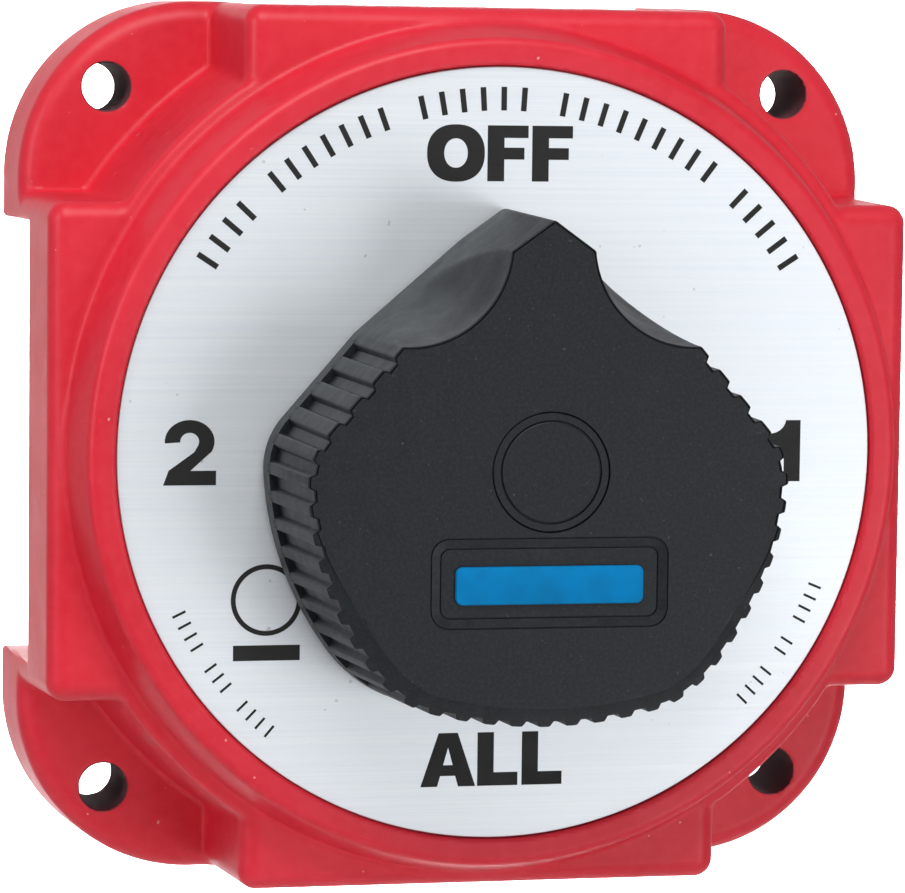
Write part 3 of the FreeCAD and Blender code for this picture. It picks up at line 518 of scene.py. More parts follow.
def make_knob(material):
    """Grip knob: drafted wall with grooves, scoops and a low bevel, face with cap seat and badge panel."""
    outline, normal, groove = knob_samples()
    low = smoothstep(4.0, 30.0, -outline[:, 1])
    bevel, drop, edge = BEVEL_WIDE * low, BEVEL_DROP * low, KNOB_EDGE
    bm = bmesh.new()
    under, over = GROOVE_STOP - 0.02, GROOVE_STOP + 0.02
    rows = [(0.0, 0.0, 0.3), (0.3, 0.0, 0.0), (2.6, 0.0, 0.0), (under, 0.0, 0.0), (over, 1.0, 0.0)]
    levels = np.linspace(over, KNOB_TALL, 24)[1:-1]
    rows += [(u, 1.0, 0.0) for u in levels]
    loops = []
    lip = KNOB_TALL - drop * (1 - np.minimum(groove / np.maximum(bevel, 0.01), 1))
    for up, cut, inset in rows:
        high = np.minimum(up, lip - edge)
        plumb = 1 + GROOVE_PLUMB * (KNOB_TALL - high) * DRAFT / GROOVE_DEEP
        loops.append((high, cut * groove * plumb + inset, 0))
    crease = CREASE_DEEP * (1 - low)
    rim = np.maximum(groove, bevel) - groove
    front = np.full(len(outline), KNOB_TALL)
    far = CREASE_IN + 1.3 * CREASE_WIDE
    loops += [(lip - edge, groove, 0), (lip, groove, edge), (front - 0.1 * edge, groove, rim + edge + 0.02),
              (front - crease, groove, rim + CREASE_IN),
              (front - crease, groove, rim + CREASE_IN + CREASE_WIDE),
              (front, groove, rim + far), (front, groove, rim + CREASE_IN + far)]
    unit = normal / np.linalg.norm(normal, axis=1)[:, None]
    made = []
    for high, inward, beyond in loops:
        offset = (KNOB_TALL - high) * DRAFT
        flat = outline + normal * (offset - inward)[:, None]
        flat = flat - unit * (scoop_push(flat, normal, high) + beyond)[:, None]
        made.append([bm.verts.new((x * MM, -(KNOB_REAR + h) * MM, z * MM)) for (x, z), h in zip(flat, high)])
    for a, b in zip(made, made[1:]):
        bridge(bm, a, b)
    cap_seat = add_loop(bm, circle_loop(CAP_RADIUS + CAP_GAP), KNOB_FRONT)
    cap_floor = add_loop(bm, circle_loop(CAP_RADIUS + CAP_GAP), KNOB_FRONT - CAP_SEAT)
    bridge(bm, cap_floor, cap_seat)
    cap_inner = add_loop(bm, circle_loop(SCREW_BORE), KNOB_FRONT - CAP_SEAT)
    bridge(bm, cap_inner, cap_floor)
    left, right, bottom, top = PANEL
    panel = []
    for inset, depth in PANEL_STEPS:
        corner = PANEL_CORNER - 0.85 * inset
        sides = (left + inset, right - inset, bottom + inset, top - inset)
        panel.append(add_loop(bm, rounded_rect(*sides, corner), KNOB_FRONT - depth))
    for a, b in zip(panel, panel[1:]):
        bridge(bm, b, a)
    fill(bm, [panel[-1]])
    fill(bm, [made[-1], cap_seat, panel[0]])
    hollow = [add_loop(bm, circle_loop(r), KNOB_REAR + h) for r, h in HOLLOW_ROWS]
    for a, b in zip(hollow, hollow[1:]):
        bridge(bm, a, b)
    fill(bm, [made[0], hollow[0]])
    bmesh.ops.remove_doubles(bm, verts=bm.verts, dist=1e-7)
    return link(finished(bm, "knob_grip", 30), "knob_grip", "turning_knob", material, "black_plastic", "knob")


# ---- materials

def new_material(name, color, rough, metallic=0.0):
    """A principled material with its node tree, output and shader."""
    material = bpy.data.materials.new(name)
    material.use_nodes = True
    tree = material.node_tree
    shader = tree.nodes["Principled BSDF"]
    shader.inputs["Base Color"].default_value = (*color, 1)
    shader.inputs["Roughness"].default_value = rough
    shader.inputs["Metallic"].default_value = metallic
    material.diffuse_color = (*color, 1)
    return material, tree, shader


def node(tree, kind, **values):
    """A new shader node with properties or inputs set."""
    made = tree.nodes.new(kind)
    for key, value in values.items():
        if hasattr(made, key):
            setattr(made, key, value)
        else:
            made.inputs[key.replace("_", " ")].default_value = value
    return made


def coordinates(tree, scale):
    """Object coordinates, scaled."""
    coords = node(tree, "ShaderNodeTexCoord")
    mapping = node(tree, "ShaderNodeMapping")
    mapping.inputs["Scale"].default_value = scale
    tree.links.new(coords.outputs["Object"], mapping.inputs["Vector"])
    return mapping.outputs["Vector"]


def noise(tree, vector, scale, detail=4.0, rough=0.5):
    """Noise value at a vector."""
    made = node(tree, "ShaderNodeTexNoise")
    made.inputs["Scale"].default_value = scale
    made.inputs["Detail"].default_value = detail
    made.inputs["Roughness"].default_value = rough
    tree.links.new(vector, made.inputs["Vector"])
    return made.outputs["Fac"]


def ramp(tree, value, low, high, a=0.0, b=1.0):
    """Maps a value from low..high to a..b."""
    made = node(tree, "ShaderNodeMapRange")
    made.inputs["From Min"].default_value = low
    made.inputs["From Max"].default_value = high
    made.inputs["To Min"].default_value = a
    made.inputs["To Max"].default_value = b
    tree.links.new(value, made.inputs["Value"])
    return made.outputs["Result"]


def mix(tree, factor, a, b):
    """Colour mix by a factor."""
    made = node(tree, "ShaderNodeMix", data_type="RGBA")
    tree.links.new(factor, made.inputs["Factor"])
    for socket, value in ((made.inputs[6], a), (made.inputs[7], b)):
        if isinstance(value, tuple):
            socket.default_value = (*value, 1)
        else:
            tree.links.new(value, socket)
    return made.outputs[2]


def bump(tree, height, strength, distance_mm):
    """Bump node driven by a height."""
    made = node(tree, "ShaderNodeBump")
    made.inputs["Strength"].default_value = strength
    made.inputs["Distance"].default_value = distance_mm * MM
    tree.links.new(height, made.inputs["Height"])
    return made


def near_holes(tree, inner, outer):
    """1 on the walls of the four mounting holes, fading to 0 at the outer radius (mm)."""
    coords = node(tree, "ShaderNodeTexCoord")
    parts = node(tree, "ShaderNodeSeparateXYZ")
    tree.links.new(coords.outputs["Object"], parts.inputs["Vector"])
    squares = []
    for axis in ("X", "Z"):
        size = node(tree, "ShaderNodeMath", operation="ABSOLUTE")
        away = node(tree, "ShaderNodeMath", operation="SUBTRACT")
        square = node(tree, "ShaderNodeMath", operation="POWER")
        tree.links.new(parts.outputs[axis], size.inputs[0])
        tree.links.new(size.outputs[0], away.inputs[0])
        away.inputs[1].default_value = HOLE_HALF * MM
        tree.links.new(away.outputs[0], square.inputs[0])
        square.inputs[1].default_value = 2
        squares.append(square.outputs[0])
    total = node(tree, "ShaderNodeMath", operation="ADD")
    root = node(tree, "ShaderNodeMath", operation="SQRT")
    for socket, value in zip(total.inputs, squares):
        tree.links.new(value, socket)
    tree.links.new(total.outputs[0], root.inputs[0])
    return ramp(tree, root.outputs[0], inner * MM, outer * MM, 1.0, 0.0)


def red_plastic():
    """Satin moulded thermoset with slight flow marks, specks, scuffs and fine grain, and painted shade on the
    mounting-hole walls.
    """
    material, tree, shader = new_material("red_moulding", (0.72, 0.020, 0.040), 0.40)
    shader.inputs["Specular IOR Level"].default_value = 0.36
    vector = coordinates(tree, (1, 1, 1))
    broad = noise(tree, vector, 26.0, 3.0)
    tone = mix(tree, ramp(tree, broad, 0.3, 0.7), (0.67, 0.014, 0.032), (0.75, 0.023, 0.046))
    mottle = noise(tree, vector, 420.0, 3.0)
    tone = mix(tree, ramp(tree, mottle, 0.35, 0.75, 0.0, 0.35), tone, (0.79, 0.045, 0.070))
    specks = ramp(tree, noise(tree, vector, 760.0, 1.0), 0.80, 0.82)
    tone = mix(tree, specks, tone, (0.80, 0.30, 0.30))
    scuffs = noise(tree, coordinates(tree, (1.0, 1.0, 0.45)), 150.0, 6.0, 0.7)
    tone = mix(tree, ramp(tree, scuffs, 0.70, 0.76, 0.0, 0.45), tone, (0.34, 0.13, 0.13))
    # painted shade: the walls of the four mounting holes are darkened to a near-black red in the colour,
    # standing in for the shade inside them; the same mask also makes them duller
    hole_shade_mask = near_holes(tree, HOLE_RADIUS + 0.1, HOLE_RADIUS + 0.4)
    tone = mix(tree, hole_shade_mask, tone, (0.100, 0.030, 0.038))
    tree.links.new(tone, shader.inputs["Base Color"])
    patches = noise(tree, vector, 90.0, 5.0)
    duller = node(tree, "ShaderNodeMath", operation="MAXIMUM")
    tree.links.new(ramp(tree, patches, 0.25, 0.75, 0.36, 0.46), duller.inputs[0])
    tree.links.new(ramp(tree, hole_shade_mask, 0, 1, 0, 0.95), duller.inputs[1])
    tree.links.new(duller.outputs[0], shader.inputs["Roughness"])
    grain = noise(tree, vector, 1500.0, 3.0)
    waves = noise(tree, vector, 120.0, 2.0)
    fine = bump(tree, grain, 0.22, 0.03)
    wide = bump(tree, waves, 0.2, 0.1)
    tree.links.new(wide.outputs["Normal"], fine.inputs["Normal"])
    tree.links.new(fine.outputs["Normal"], shader.inputs["Normal"])
    return material


def brushed_plate():
    """Aluminium sheet brushed from side to side."""
    material, tree, shader = new_material("brushed_dial", (0.90, 0.93, 0.96), 0.34, 0.45)
    shader.inputs["Specular IOR Level"].default_value = 0.4
    fine = noise(tree, coordinates(tree, (26, 26, 5200)), 1.0, 3.0, 0.65)
    long_lines = noise(tree, coordinates(tree, (4, 4, 1500)), 1.0, 2.0, 0.5)
    cloud = noise(tree, coordinates(tree, (9, 9, 14)), 1.0, 2.0, 0.5)
    tone = mix(tree, ramp(tree, fine, 0.3, 0.7), (0.825, 0.885, 0.945), (0.905, 0.950, 1.0))
    tone = mix(tree, ramp(tree, long_lines, 0.4, 0.7, 0.0, 0.4), tone, (0.94, 0.98, 1.0))
    tone = mix(tree, ramp(tree, cloud, 0.35, 0.7, 0.0, 0.25), tone, (0.83, 0.88, 0.93))
    spots = ramp(tree, noise(tree, coordinates(tree, (1, 1, 1)), 620.0, 1.0), 0.79, 0.81, 0.0, 0.5)
    tone = mix(tree, spots, tone, (0.45, 0.45, 0.46))
    tree.links.new(tone, shader.inputs["Base Color"])
    tree.links.new(ramp(tree, fine, 0.3, 0.7, 0.34, 0.45), shader.inputs["Roughness"])
    relief = bump(tree, fine, 0.12, 0.012)
    tree.links.new(relief.outputs["Normal"], shader.inputs["Normal"])
    return material


def black_plastic():
    """Charcoal moulding with a spark-eroded texture and a little dust."""
    material, tree, shader = new_material("black_moulding", (0.008, 0.0105, 0.0135), 0.44)
    shader.inputs["Specular IOR Level"].default_value = 0.33
    vector = coordinates(tree, (1, 1, 1))
    mottled = noise(tree, vector, 260.0, 6.0, 0.7)
    tone = mix(tree, ramp(tree, mottled, 0.35, 0.7), (0.0030, 0.0056, 0.0082), (0.0078, 0.0108, 0.0150))
    speckle = noise(tree, vector, 1700.0, 4.0, 0.75)
    tone = mix(tree, ramp(tree, speckle, 0.45, 0.75, 0.0, 0.55), tone, (0.028, 0.032, 0.036))
    dust = ramp(tree, noise(tree, vector, 1300.0, 2.0), 0.72, 0.78, 0.0, 0.55)
    tone = mix(tree, dust, tone, (0.090, 0.090, 0.088))
    rubbed = noise(tree, vector, 55.0, 5.0, 0.7)
    tone = mix(tree, ramp(tree, rubbed, 0.6, 0.75, 0.0, 0.3), tone, (0.030, 0.032, 0.034))
    tree.links.new(tone, shader.inputs["Base Color"])
    tree.links.new(ramp(tree, mottled, 0.3, 0.7, 0.40, 0.54), shader.inputs["Roughness"])
    grain = bump(tree, noise(tree, vector, 2200.0, 3.0, 0.6), 0.35, 0.04)
    tree.links.new(grain.outputs["Normal"], shader.inputs["Normal"])
    return material


def plain(name, color, rough, metallic=0.0, grain_scale=1500.0, grain=0.2, depth=0.02):
    """Simple finish with small variation in tone, gloss and surface."""
    material, tree, shader = new_material(name, color, rough, metallic)
    vector = coordinates(tree, (1, 1, 1))
    spread = noise(tree, vector, 200.0, 4.0)
    darker = tuple(c * 0.86 for c in color)
    lighter = tuple(min(1.0, c * 1.1) for c in color)
    tree.links.new(mix(tree, ramp(tree, spread, 0.3, 0.7), darker, lighter), shader.inputs["Base Color"])
    tree.links.new(ramp(tree, spread, 0.3, 0.7, max(0.05, rough - 0.07), min(1, rough + 0.08)),
                   shader.inputs["Roughness"])
    relief = bump(tree, noise(tree, vector, grain_scale, 3.0), grain, depth)
    tree.links.new(relief.outputs["Normal"], shader.inputs["Normal"])
    return material


RED = red_plastic()
PLATE = brushed_plate()
BLACK = black_plastic()
BLUE = plain("blue_mark", (0.0, 0.19, 0.46), 0.7)
BLUE.node_tree.nodes["Principled BSDF"].inputs["Specular IOR Level"].default_value = 0.12
INK = plain("dial_ink", (0.006, 0.006, 0.006), 0.65)
STEEL = plain("plated_steel", (0.62, 0.62, 0.60), 0.28, 1.0)
COPPER = plain("contact_copper", (0.75, 0.36, 0.20), 0.30, 1.0)
BRASS = plain("turned_brass", (0.76, 0.56, 0.26), 0.27, 1.0)
BOARD = plain("insulating_board", (0.045, 0.028, 0.020), 0.55)
RUBBER = plain("seal_rubber", (0.015, 0.015, 0.015), 0.7)

# ---- pieces

make_housing(RED)

PLATE_EDGE = 0.12
plate_rear = -PLATE_HIGH.y
link(lathe("dial_face", [
    (PLATE_BORE, plate_rear), (PLATE_RADIUS, plate_rear), (PLATE_RADIUS, PLATE_FRONT - PLATE_EDGE),
    (PLATE_RADIUS - PLATE_EDGE, PLATE_FRONT), (PLATE_BORE, PLATE_FRONT)], 256),
     "dial_face", "base", PLATE, "dial_metal", "dial_plate")

make_knob(BLACK)

CAP_LINE = 8.5
cap_rear, cap_front = -CAP_HIGH.y, -CAP_LOW.y
link(lathe("knob_cap_disc", [
    (0, cap_rear), (CAP_RADIUS - 0.3, cap_rear), (CAP_RADIUS, cap_rear + 0.3),
    (CAP_RADIUS, cap_front - 0.32), (CAP_RADIUS - 0.22, cap_front - 0.1),
    (CAP_LINE + 0.28, cap_front - 0.1), (CAP_LINE + 0.16, cap_front - 0.5), (CAP_LINE, cap_front - 0.5),
    (CAP_LINE - 0.08, cap_front - 0.08), (CAP_LINE - 0.2, cap_front), (0, cap_front)], 160, closed=False),
     "knob_cap_disc", "turning_knob", BLACK, "black_plastic", "knob_cap")


def make_badge(material):
    """Blue bar with softly rounded edges."""
    bm = bmesh.new()
    rear, front = -BAR_HIGH.y, -BAR_LOW.y
    left, right, low, high = BAR_LOW.x, BAR_HIGH.x, BAR_LOW.z, BAR_HIGH.z
    rows = [(0.0, rear), (0.0, front - 0.35), (0.1, front - 0.12), (0.35, front)]
    loops = []
    for inset, height in rows:
        sides = (left + inset, right - inset, low + inset, high - inset)
        loops.append(add_loop(bm, rounded_rect(*sides, 1.2 - 0.8 * inset), height))
    for a, b in zip(loops, loops[1:]):
        bridge(bm, a, b)
    fill(bm, [loops[-1]])
    fill(bm, [loops[0]])
    mesh = finished(bm, "knob_badge", 40)
    return link(mesh, "knob_badge", "turning_knob", material, "blue_mark", "knob_badge_bar")


make_badge(BLUE)

# ---- dial marks

INK_HIGH, INK_SUNK = 0.035, 0.01
OFF_ROW, ALL_ROW, TWO_AT, ONE_AT = (-13.6, 47.8), (-13.6, -58.5), (-59.8, -4.9), (49.2, -5.1)
ARC_START, ARC_END, ARC_GROUPS, SMALL_PITCH = 147.0, 33.0, (4, 7, 6, 9, 5), 2.0
RING_AT, BAR_AT = (-41.4, -25.0), (-41.3, -35.6)


def oval(x, z, half_x, half_z, power=2.3, steps=56):
    """Loop of a slightly squared oval."""
    loop = []
    for k in range(steps):
        c, s = math.cos(TAU * k / steps), math.sin(TAU * k / steps)
        loop.append((x + half_x * math.copysign(abs(c) ** (2 / power), c),
                     z + half_z * math.copysign(abs(s) ** (2 / power), s)))
    return loop


def arc_points(x, z, half_x, half_z, start, end, steps=22):
    """Points of an elliptic arc between two angles in degrees."""
    turns = [math.radians(start + (end - start) * k / steps) for k in range(steps + 1)]
    return [(x + half_x * math.cos(t), z + half_z * math.sin(t)) for t in turns]


# each mark below is its outline and its holes, in mm from its lower left corner


def letter_f(high):
    return [[(0, 0), (3.0, 0), (3.0, 3.8), (6.6, 3.8), (6.6, 5.85), (3.0, 5.85), (3.0, high - 2.15),
             (7.3, high - 2.15), (7.3, high), (0, high)]]


def letter_l(high):
    return [[(0, 0), (7.3, 0), (7.3, 2.35), (2.95, 2.35), (2.95, high), (0, high)]]


def letter_a(high):
    return [[(0, 0), (3.0, 0), (3.55, 1.9), (6.25, 1.9), (6.8, 0), (9.9, 0), (6.65, high), (3.2, high)],
            [(4.05, 3.8), (5.8, 3.8), (4.93, 6.95)]]


def letter_o(high):
    return [oval(5.1, high / 2, 5.15, high / 2 + 0.12), oval(5.1, high / 2, 2.1, high / 2 - 2.3, 2.1)]


def digit_two():
    outer = arc_points(4.75, 7.55, 4.35, 3.75, 184, -28)
    inner = arc_points(4.75, 7.55, 1.65, 1.55, -30, 184)
    return [[(0.15, 0), (9.4, 0), (9.4, 2.5), (4.9, 2.5), (7.5, 4.85)] + outer[::-1] + inner[::-1]
            + [(5.6, 5.75), (1.1, 2.55)]]


def digit_one(high):
    flag = arc_points(0.3, high + 0.4, 2.9, 2.75, -4, -84, 10)
    return [[(2.85, 0), (5.85, 0), (5.85, high), (3.2, high)] + flag + [(0, high - 2.4), (0, high - 5.1),
            (2.85, high - 6.9)]]


def ink_shape(bm, loops, turn=0.0, at=(0.0, 0.0)):
    """A thin raised ink shape; the first loop is its outside, the others are holes."""
    c, s = math.cos(turn), math.sin(turn)
    low_loops, high_loops = [], []
    for loop in loops:
        moved = [(at[0] + x * c - z * s, at[1] + x * s + z * c) for x, z in loop]
        low_loops.append(add_loop(bm, moved, PLATE_FRONT - INK_SUNK))
        high_loops.append(add_loop(bm, moved, PLATE_FRONT + INK_HIGH))
        bridge(bm, low_loops[-1], high_loops[-1])
    fill(bm, low_loops)
    fill(bm, high_loops)


def place_letters(bm, letters, at):
    """Letters at their offsets along a row."""
    for offset, loops in letters:
        ink_shape(bm, [[(x + offset, z) for x, z in loop] for loop in loops], at=at)


def ticks(bm, radius, start, pitches, wide, tall):
    """Radial strokes clockwise from an angle in degrees; a pitch of more than one leaves a gap."""
    angle, half, top = start, wide / 2, radius + tall
    for pitch in pitches:
        turn = math.radians(angle - 90)
        ink_shape(bm, [[(-half, radius), (half, radius), (half, top), (-half, top)]], turn)
        angle -= pitch


def make_marks(material):
    """Position marks and plain index strokes printed on the dial."""
    bm = bmesh.new()
    place_letters(bm, [(0, letter_o(9.7)), (10.75, letter_f(9.7)), (18.75, letter_f(9.7))], OFF_ROW)
    place_letters(bm, [(0, letter_a(9.5)), (10.25, letter_l(9.5)), (18.3, letter_l(9.5))], ALL_ROW)
    place_letters(bm, [(0, digit_two())], TWO_AT)
    place_letters(bm, [(0, digit_one(10.9))], ONE_AT)
    step = (ARC_START - ARC_END) / (sum(ARC_GROUPS) + len(ARC_GROUPS) - 2)
    pitches = []
    for group in ARC_GROUPS:
        pitches += [step] * (group - 1) + [2 * step]
    ticks(bm, 60.1, ARC_START, pitches[:-1] + [step], 1.0, 4.1)
    for start, groups in ((205.7, (3, 2, 4)), (-44.3, (3, 1, 4))):
        pitches = []
        for group in groups:
            pitches += [-SMALL_PITCH] * group + [-2 * SMALL_PITCH]
        ticks(bm, 61.7, start, pitches[:-1], 0.42, 2.5)
    ink_shape(bm, [circle_loop(6.25, 72, RING_AT), circle_loop(5.4, 72, RING_AT)])
    ink_shape(bm, [[(-5.9, 0), (5.9, 0), (5.9, 2.7), (-5.9, 2.7)]], at=BAR_AT)
    return link(finished(bm, "dial_marks"), "dial_marks", "base", material, "black_plastic")


make_marks(INK)

# ---- terminal hardware

STUD_NODES = ("stud_common", "stud_bank_1", "stud_bank_2")
HEX_HALF, STUD_RADIUS, STUD_LEAD = 7.15, 4.7, 4.4


def centre_of(node):
    """Middle of a CAD node seen from the front, in mm."""
    low, high = cad(node)
    return ((low.x + high.x) / 2, (low.z + high.z) / 2)


STUD_CENTRES = [centre_of(name) for name in STUD_NODES]


def hex_radius(turn, half_flats):
    """Radius of a hexagon at a turn in radians."""
    return half_flats / math.cos((turn + math.radians(30)) % math.radians(60) - math.radians(30))


def hex_rows(half_flats, rear, front, bore=None, segments=96):
    """Rows of (radius list, height) for a chamfered hexagon, open at a bore or closed to the axis."""
    turns = [TAU * k / segments for k in range(segments)]
    outer = [hex_radius(t, half_flats) for t in turns]
    face = 0.95 * half_flats
    slope = math.tan(math.radians(28))
    rise = [max(0.0, r - face) * slope for r in outer]
    flat = [0.0] * segments
    rows = [([face] * segments, [rear] * segments), (outer, [rear + d for d in rise]),
            (outer, [front - d for d in rise]), ([face] * segments, [front] * segments)]
    if bore:
        inner, lip = [bore] * segments, [bore + 0.5] * segments
        rows = ([(inner, [rear + 0.5] * segments), (lip, [rear] * segments)] + rows
                + [(lip, [front] * segments), (inner, [front - 0.5] * segments)])
    else:
        rows = [(flat, [rear] * segments)] + rows + [(flat, [front] * segments)]
    return rows


def rows_data(rows, centre, closed):
    """Points and faces of rows that each give a radius and a height per segment."""
    segments = len(rows[0][0])
    points = []
    for radii, heights in rows:
        for k, (radius, height) in enumerate(zip(radii, heights)):
            turn = TAU * k / segments
            points.append((centre[0] + radius * math.cos(turn), -height, centre[1] + radius * math.sin(turn)))
    faces = []
    count = len(rows)
    for r in range(count if closed else count - 1):
        a, b = r * segments, (r + 1) % count * segments
        for k in range(segments):
            j = (k + 1) % segments
            faces.append([a + k, a + j, b + j, b + k])
    return points, faces


def clean_mesh(name, parts, degrees=30.0):
    """Mesh of joined parts with doubles merged and normals outward."""
    points, faces = merge(parts)
    bm = bmesh.new()
    verts = [bm.verts.new(tuple(c * MM for c in p)) for p in points]
    for face in faces:
        corners = [verts[v] for v in face]
        if len(set(corners)) > 2:
            bm.faces.new(corners)
    bmesh.ops.remove_doubles(bm, verts=bm.verts, dist=2e-6)
    bmesh.ops.dissolve_degenerate(bm, edges=bm.edges, dist=1e-6)
    return finished(bm, name, degrees)


def make_nuts(node):
    """Chamfered hexagon nuts on the three studs."""
    low, high = cad(node)
    parts = [rows_data(hex_rows(HEX_HALF, -high.y, -low.y, 4.72), c, True) for c in STUD_CENTRES]
    link(clean_mesh(node + "_hex", parts), node + "_hex", "base", BRASS, "brass", node)


def make_flat_washers(node):
    """Flat washers with softened edges on the three studs."""
    low, high = cad(node)
    rear, front, out, bore, soft = -high.y, -low.y, 8.6, 4.8, 0.25
    profile = [(bore, rear + soft), (bore + soft, rear), (out - soft, rear), (out, rear + soft),
               (out, front - soft), (out - soft, front), (bore + soft, front), (bore, front - soft)]
    parts = [lathe_data(profile, 96, c) for c in STUD_CENTRES]
    link(clean_mesh(node + "_disc", parts), node + "_disc", "base", STEEL, "steel", node)


def make_lock_washers(node, turned):
    """Split spring washers: a bar of square section wound once, with a slanting gap."""
    low, high = cad(node)
    rear, front, out, bore, soft, segments = -high.y, -low.y, 7.9, 4.85, 0.3, 90
    middle, tall = (rear + front) / 2, front - rear
    gap, lean = math.radians(13), math.radians(9)
    section = [(bore, -0.5 + soft / tall), (bore + soft, -0.5), (out - soft, -0.5), (out, -0.5 + soft / tall),
               (out, 0.5 - soft / tall), (out - soft, 0.5), (bore + soft, 0.5), (bore, 0.5 - soft / tall)]
    parts = []
    for number, centre in enumerate(STUD_CENTRES):
        points, faces = [], []
        begin = turned + 1.9 * number
        for k in range(segments + 1):
            share = k / segments
            for radius, level in section:
                turn = begin + gap / 2 + (TAU - gap) * share + lean * level
                points.append((centre[0] + radius * math.cos(turn), -(middle + level * tall),
                               centre[1] + radius * math.sin(turn)))
        n = len(section)
        for k in range(segments):
            for i in range(n):
                j = (i + 1) % n
                faces.append([k * n + i, k * n + j, (k + 1) * n + j, (k + 1) * n + i])
        faces.append(list(range(n)))
        faces.append([segments * n + i for i in range(n)][::-1])
        parts.append((points, faces))
    link(clean_mesh(node + "_split", parts), node + "_split", "base", STEEL, "steel", node)


def make_studs():
    """Threaded studs with hexagon heads and plain lead-in ends."""
    pitch, depth, segments = 1.5875, 0.78, 60
    for node in STUD_NODES:
        low, high = cad(node)
        centre = centre_of(node)
        rear, front = -high.y, -low.y
        tip, top, seat = rear + 5.0, 24.5, front - 5.0
        rows = [([0.0] * segments, [rear] * segments), ([3.6] * segments, [rear] * segments),
                ([STUD_LEAD] * segments, [rear + 0.8] * segments),
                ([STUD_LEAD] * segments, [tip - 0.5] * segments)]
        levels = int((top - tip) / pitch * 8)
        for k in range(levels + 1):
            height = tip + (top - tip) * k / levels
            fade = min(1.0, k / 8)
            radii = []
            for j in range(segments):
                phase = (height / pitch + j / segments) % 1
                radii.append(STUD_RADIUS - depth * min(1.0, 1.25 * abs(2 * phase - 1)) * fade
                             - (STUD_RADIUS - STUD_LEAD) * (1 - fade))
            rows.append((radii, [height] * segments))
        rows += [([STUD_RADIUS] * segments, [height] * segments) for height in (top + 0.3, seat)]
        head = hex_rows(HEX_HALF, seat, front, None, segments)[1:]
        shank = rows_data(rows + head + [([0.0] * segments, [front] * segments)], centre, False)
        link(clean_mesh(node + "_thread", [shank], 40), node + "_thread", "base", BRASS, "brass", node)


def make_board_screws(node):
    """Pan heads with cross recesses, on plain shanks."""
    bm = bmesh.new()
    seat, radius, high_mm = -BOARD_HIGH.y, 3.9, 2.6
    crown, shank_radius, shank_long = 2.5, 2.0, 12.0
    arm, half = 1.9, 0.42
    cross = [(half, half), (arm, half), (arm, -half)]
    for _ in range(3):
        cross += [(z, -x) for x, z in cross[-3:]]
    for sx, sz in CORNERS:
        centre = (sx * BOSS_AT, sz * BOSS_AT)
        spin = 0.35 + sx * 0.6 + sz * 0.25
        c, s = math.cos(spin), math.sin(spin)

        def cut(scale, height):
            """Loop of the cross at a scale and height."""
            turned = [(scale * (x * c - z * s), scale * (x * s + z * c)) for x, z in cross]
            return add_loop(bm, [(centre[0] + x, centre[1] + z) for x, z in turned], height)

        profile = [(shank_radius, seat + 0.02), (radius - 0.15, seat), (radius, seat - 0.2)]
        for k in range(7):
            a = math.radians(12 + 66 * k / 6)
            profile.append((crown + 1.4 * math.cos(a), seat - 0.9 - 1.7 * math.sin(a)))
        profile.append((crown, seat - high_mm))
        rings = [add_loop(bm, circle_loop(r, 48, centre), h) for r, h in profile]
        for a, b in zip(rings, rings[1:]):
            bridge(bm, a, b)
        top, floor = cut(1.0, seat - high_mm), cut(0.72, seat - high_mm + 1.5)
        bridge(bm, top, floor)
        fill(bm, [rings[-1], top])
        fill(bm, [floor])
        shank_end = add_loop(bm, circle_loop(shank_radius, 48, centre), seat + shank_long)
        bridge(bm, shank_end, rings[0])
        fill(bm, [shank_end])
    return link(finished(bm, node + "_pan", 35), node + "_pan", "base", STEEL, "steel", node)


make_studs()
make_nuts("stud_clamp_nuts")
make_nuts("lug_nuts")
make_flat_washers("stud_flat_washers")
make_lock_washers("stud_lock_washers", 0.4)
make_lock_washers("lug_lock_washers", 2.6)
make_board_screws("board_screws")

# pieces whose CAD shape stays
for name, material in (("contact_board", BOARD), ("contact_common", COPPER), ("contact_bank_1", COPPER),
                       ("contact_bank_2", COPPER), ("moving_contact", COPPER), ("contact_rivets", BRASS),
                       ("contact_spring", STEEL), ("contact_rotor", BOARD), ("shaft", BRASS),
                       ("shaft_seal", RUBBER), ("knob_screw", STEEL), ("knob_screw_washer", STEEL)):
    mesh = frame["nodes"][name].data
    mesh.materials.clear()
    mesh.materials.append(material)

# ---- camera, light and stage

YAW, PITCH, ROLL = math.radians(13.24), math.radians(5.095), math.radians(0.668)
CAMERA_AT = Vector((-186.66, -813.97, 62.78)) * MM


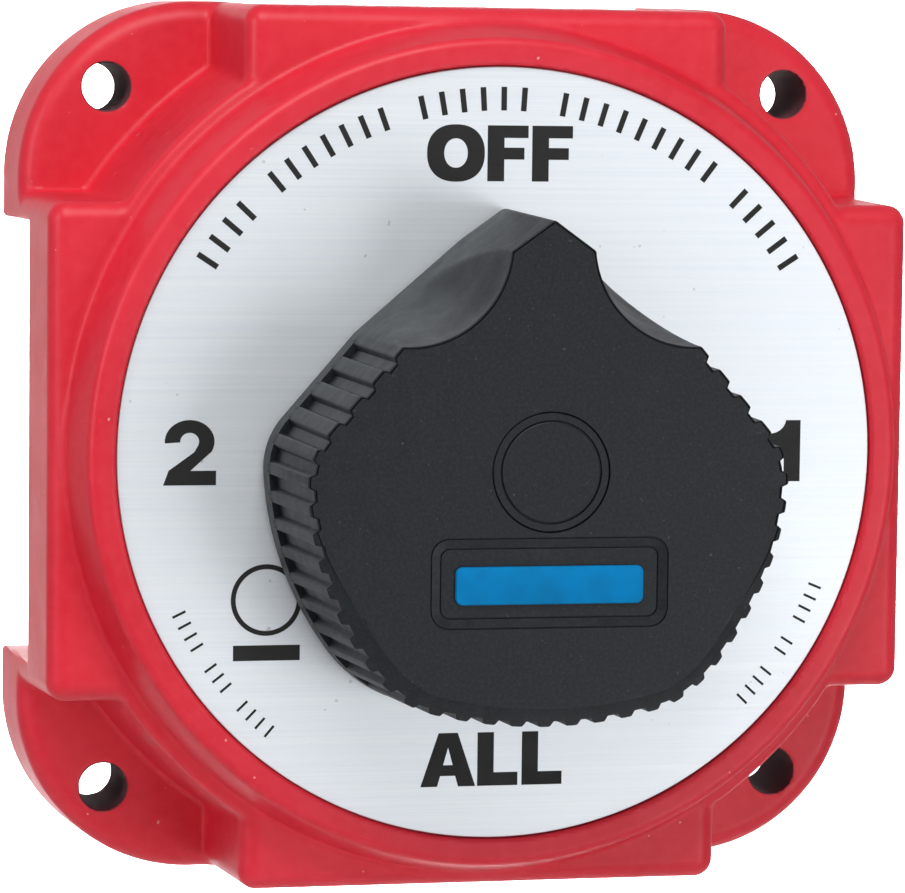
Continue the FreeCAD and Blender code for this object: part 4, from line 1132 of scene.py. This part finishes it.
def make_camera():
    """Long lens from the left and slightly above."""
    forward = Vector((math.sin(YAW) * math.cos(PITCH), math.cos(YAW) * math.cos(PITCH), -math.sin(PITCH)))
    right = Vector((math.cos(YAW), -math.sin(YAW), 0))
    up = right.cross(forward)
    turned_right = right * math.cos(ROLL) + up * math.sin(ROLL)
    turned_up = up * math.cos(ROLL) - right * math.sin(ROLL)
    data = bpy.data.cameras.new("camera")
    data.sensor_width = 36.0
    data.lens = 176.9
    data.shift_x = 0.0055
    data.shift_y = 0.0490
    data.clip_end = 20
    camera = bpy.data.objects.new("camera", data)
    turn = Matrix((turned_right, turned_up, -forward)).transposed()
    camera.matrix_world = Matrix.Translation(CAMERA_AT) @ turn.to_4x4()
    bpy.context.scene.collection.objects.link(camera)
    bpy.context.scene.camera = camera


def area_light(name, place, size, power, aim=(0, -0.05, 0), spread=math.pi):
    """Soft rectangular lamp turned to a point."""
    data = bpy.data.lights.new(name, "AREA")
    data.shape = "RECTANGLE"
    data.size, data.size_y = size
    data.energy = power
    data.spread = spread
    lamp = bpy.data.objects.new(name, data)
    lamp.location = place
    lamp.rotation_euler = (Vector(aim) - Vector(place)).to_track_quat("-Z", "Y").to_euler()
    bpy.context.scene.collection.objects.link(lamp)


FLOOR, CURVE_AT, CURVE = -0.8, 0.9, 0.6


def make_stage():
    """Plain pale floor that curves up into the background."""
    profile = [(-3.0, FLOOR), (CURVE_AT, FLOOR)]
    for k in range(1, 13):
        a = math.radians(90 * k / 12)
        profile.append((CURVE_AT + CURVE * math.sin(a), FLOOR + CURVE - CURVE * math.cos(a)))
    profile.append((CURVE_AT + CURVE, 3.0))
    points = [(x, y, z) for y, z in profile for x in (-4.0, 4.0)]
    faces = [(2 * k, 2 * k + 1, 2 * k + 3, 2 * k + 2) for k in range(len(profile) - 1)]
    mesh = bpy.data.meshes.new("stage")
    mesh.from_pydata(points, [], faces)
    mesh.update()
    mesh.materials.append(new_material("stage_white", (0.93, 0.93, 0.93), 0.9)[0])
    floor = bpy.data.objects.new("stage", mesh)
    bpy.context.scene.collection.objects.link(floor)


make_camera()
make_stage()
area_light("key", (-0.15, -0.62, 0.70), (0.6, 0.5), 5.5)
area_light("left", (-1.4, -0.75, 0.35), (0.22, 0.8), 5.6)
area_light("right", (0.95, -1.62, -0.44), (0.9, 0.9), 8.2)
area_light("backdrop", (0.36, 0.5, 0.62), (0.5, 0.3), 21, (0.36, 1.5, -0.12), math.radians(62))
world = bpy.data.worlds.new("studio")
world.use_nodes = True
world.node_tree.nodes["Background"].inputs["Color"].default_value = (1, 1, 1, 1)
world.node_tree.nodes["Background"].inputs["Strength"].default_value = 0.3
bpy.context.scene.world = world
bpy.context.scene.view_settings.view_transform = "Standard"
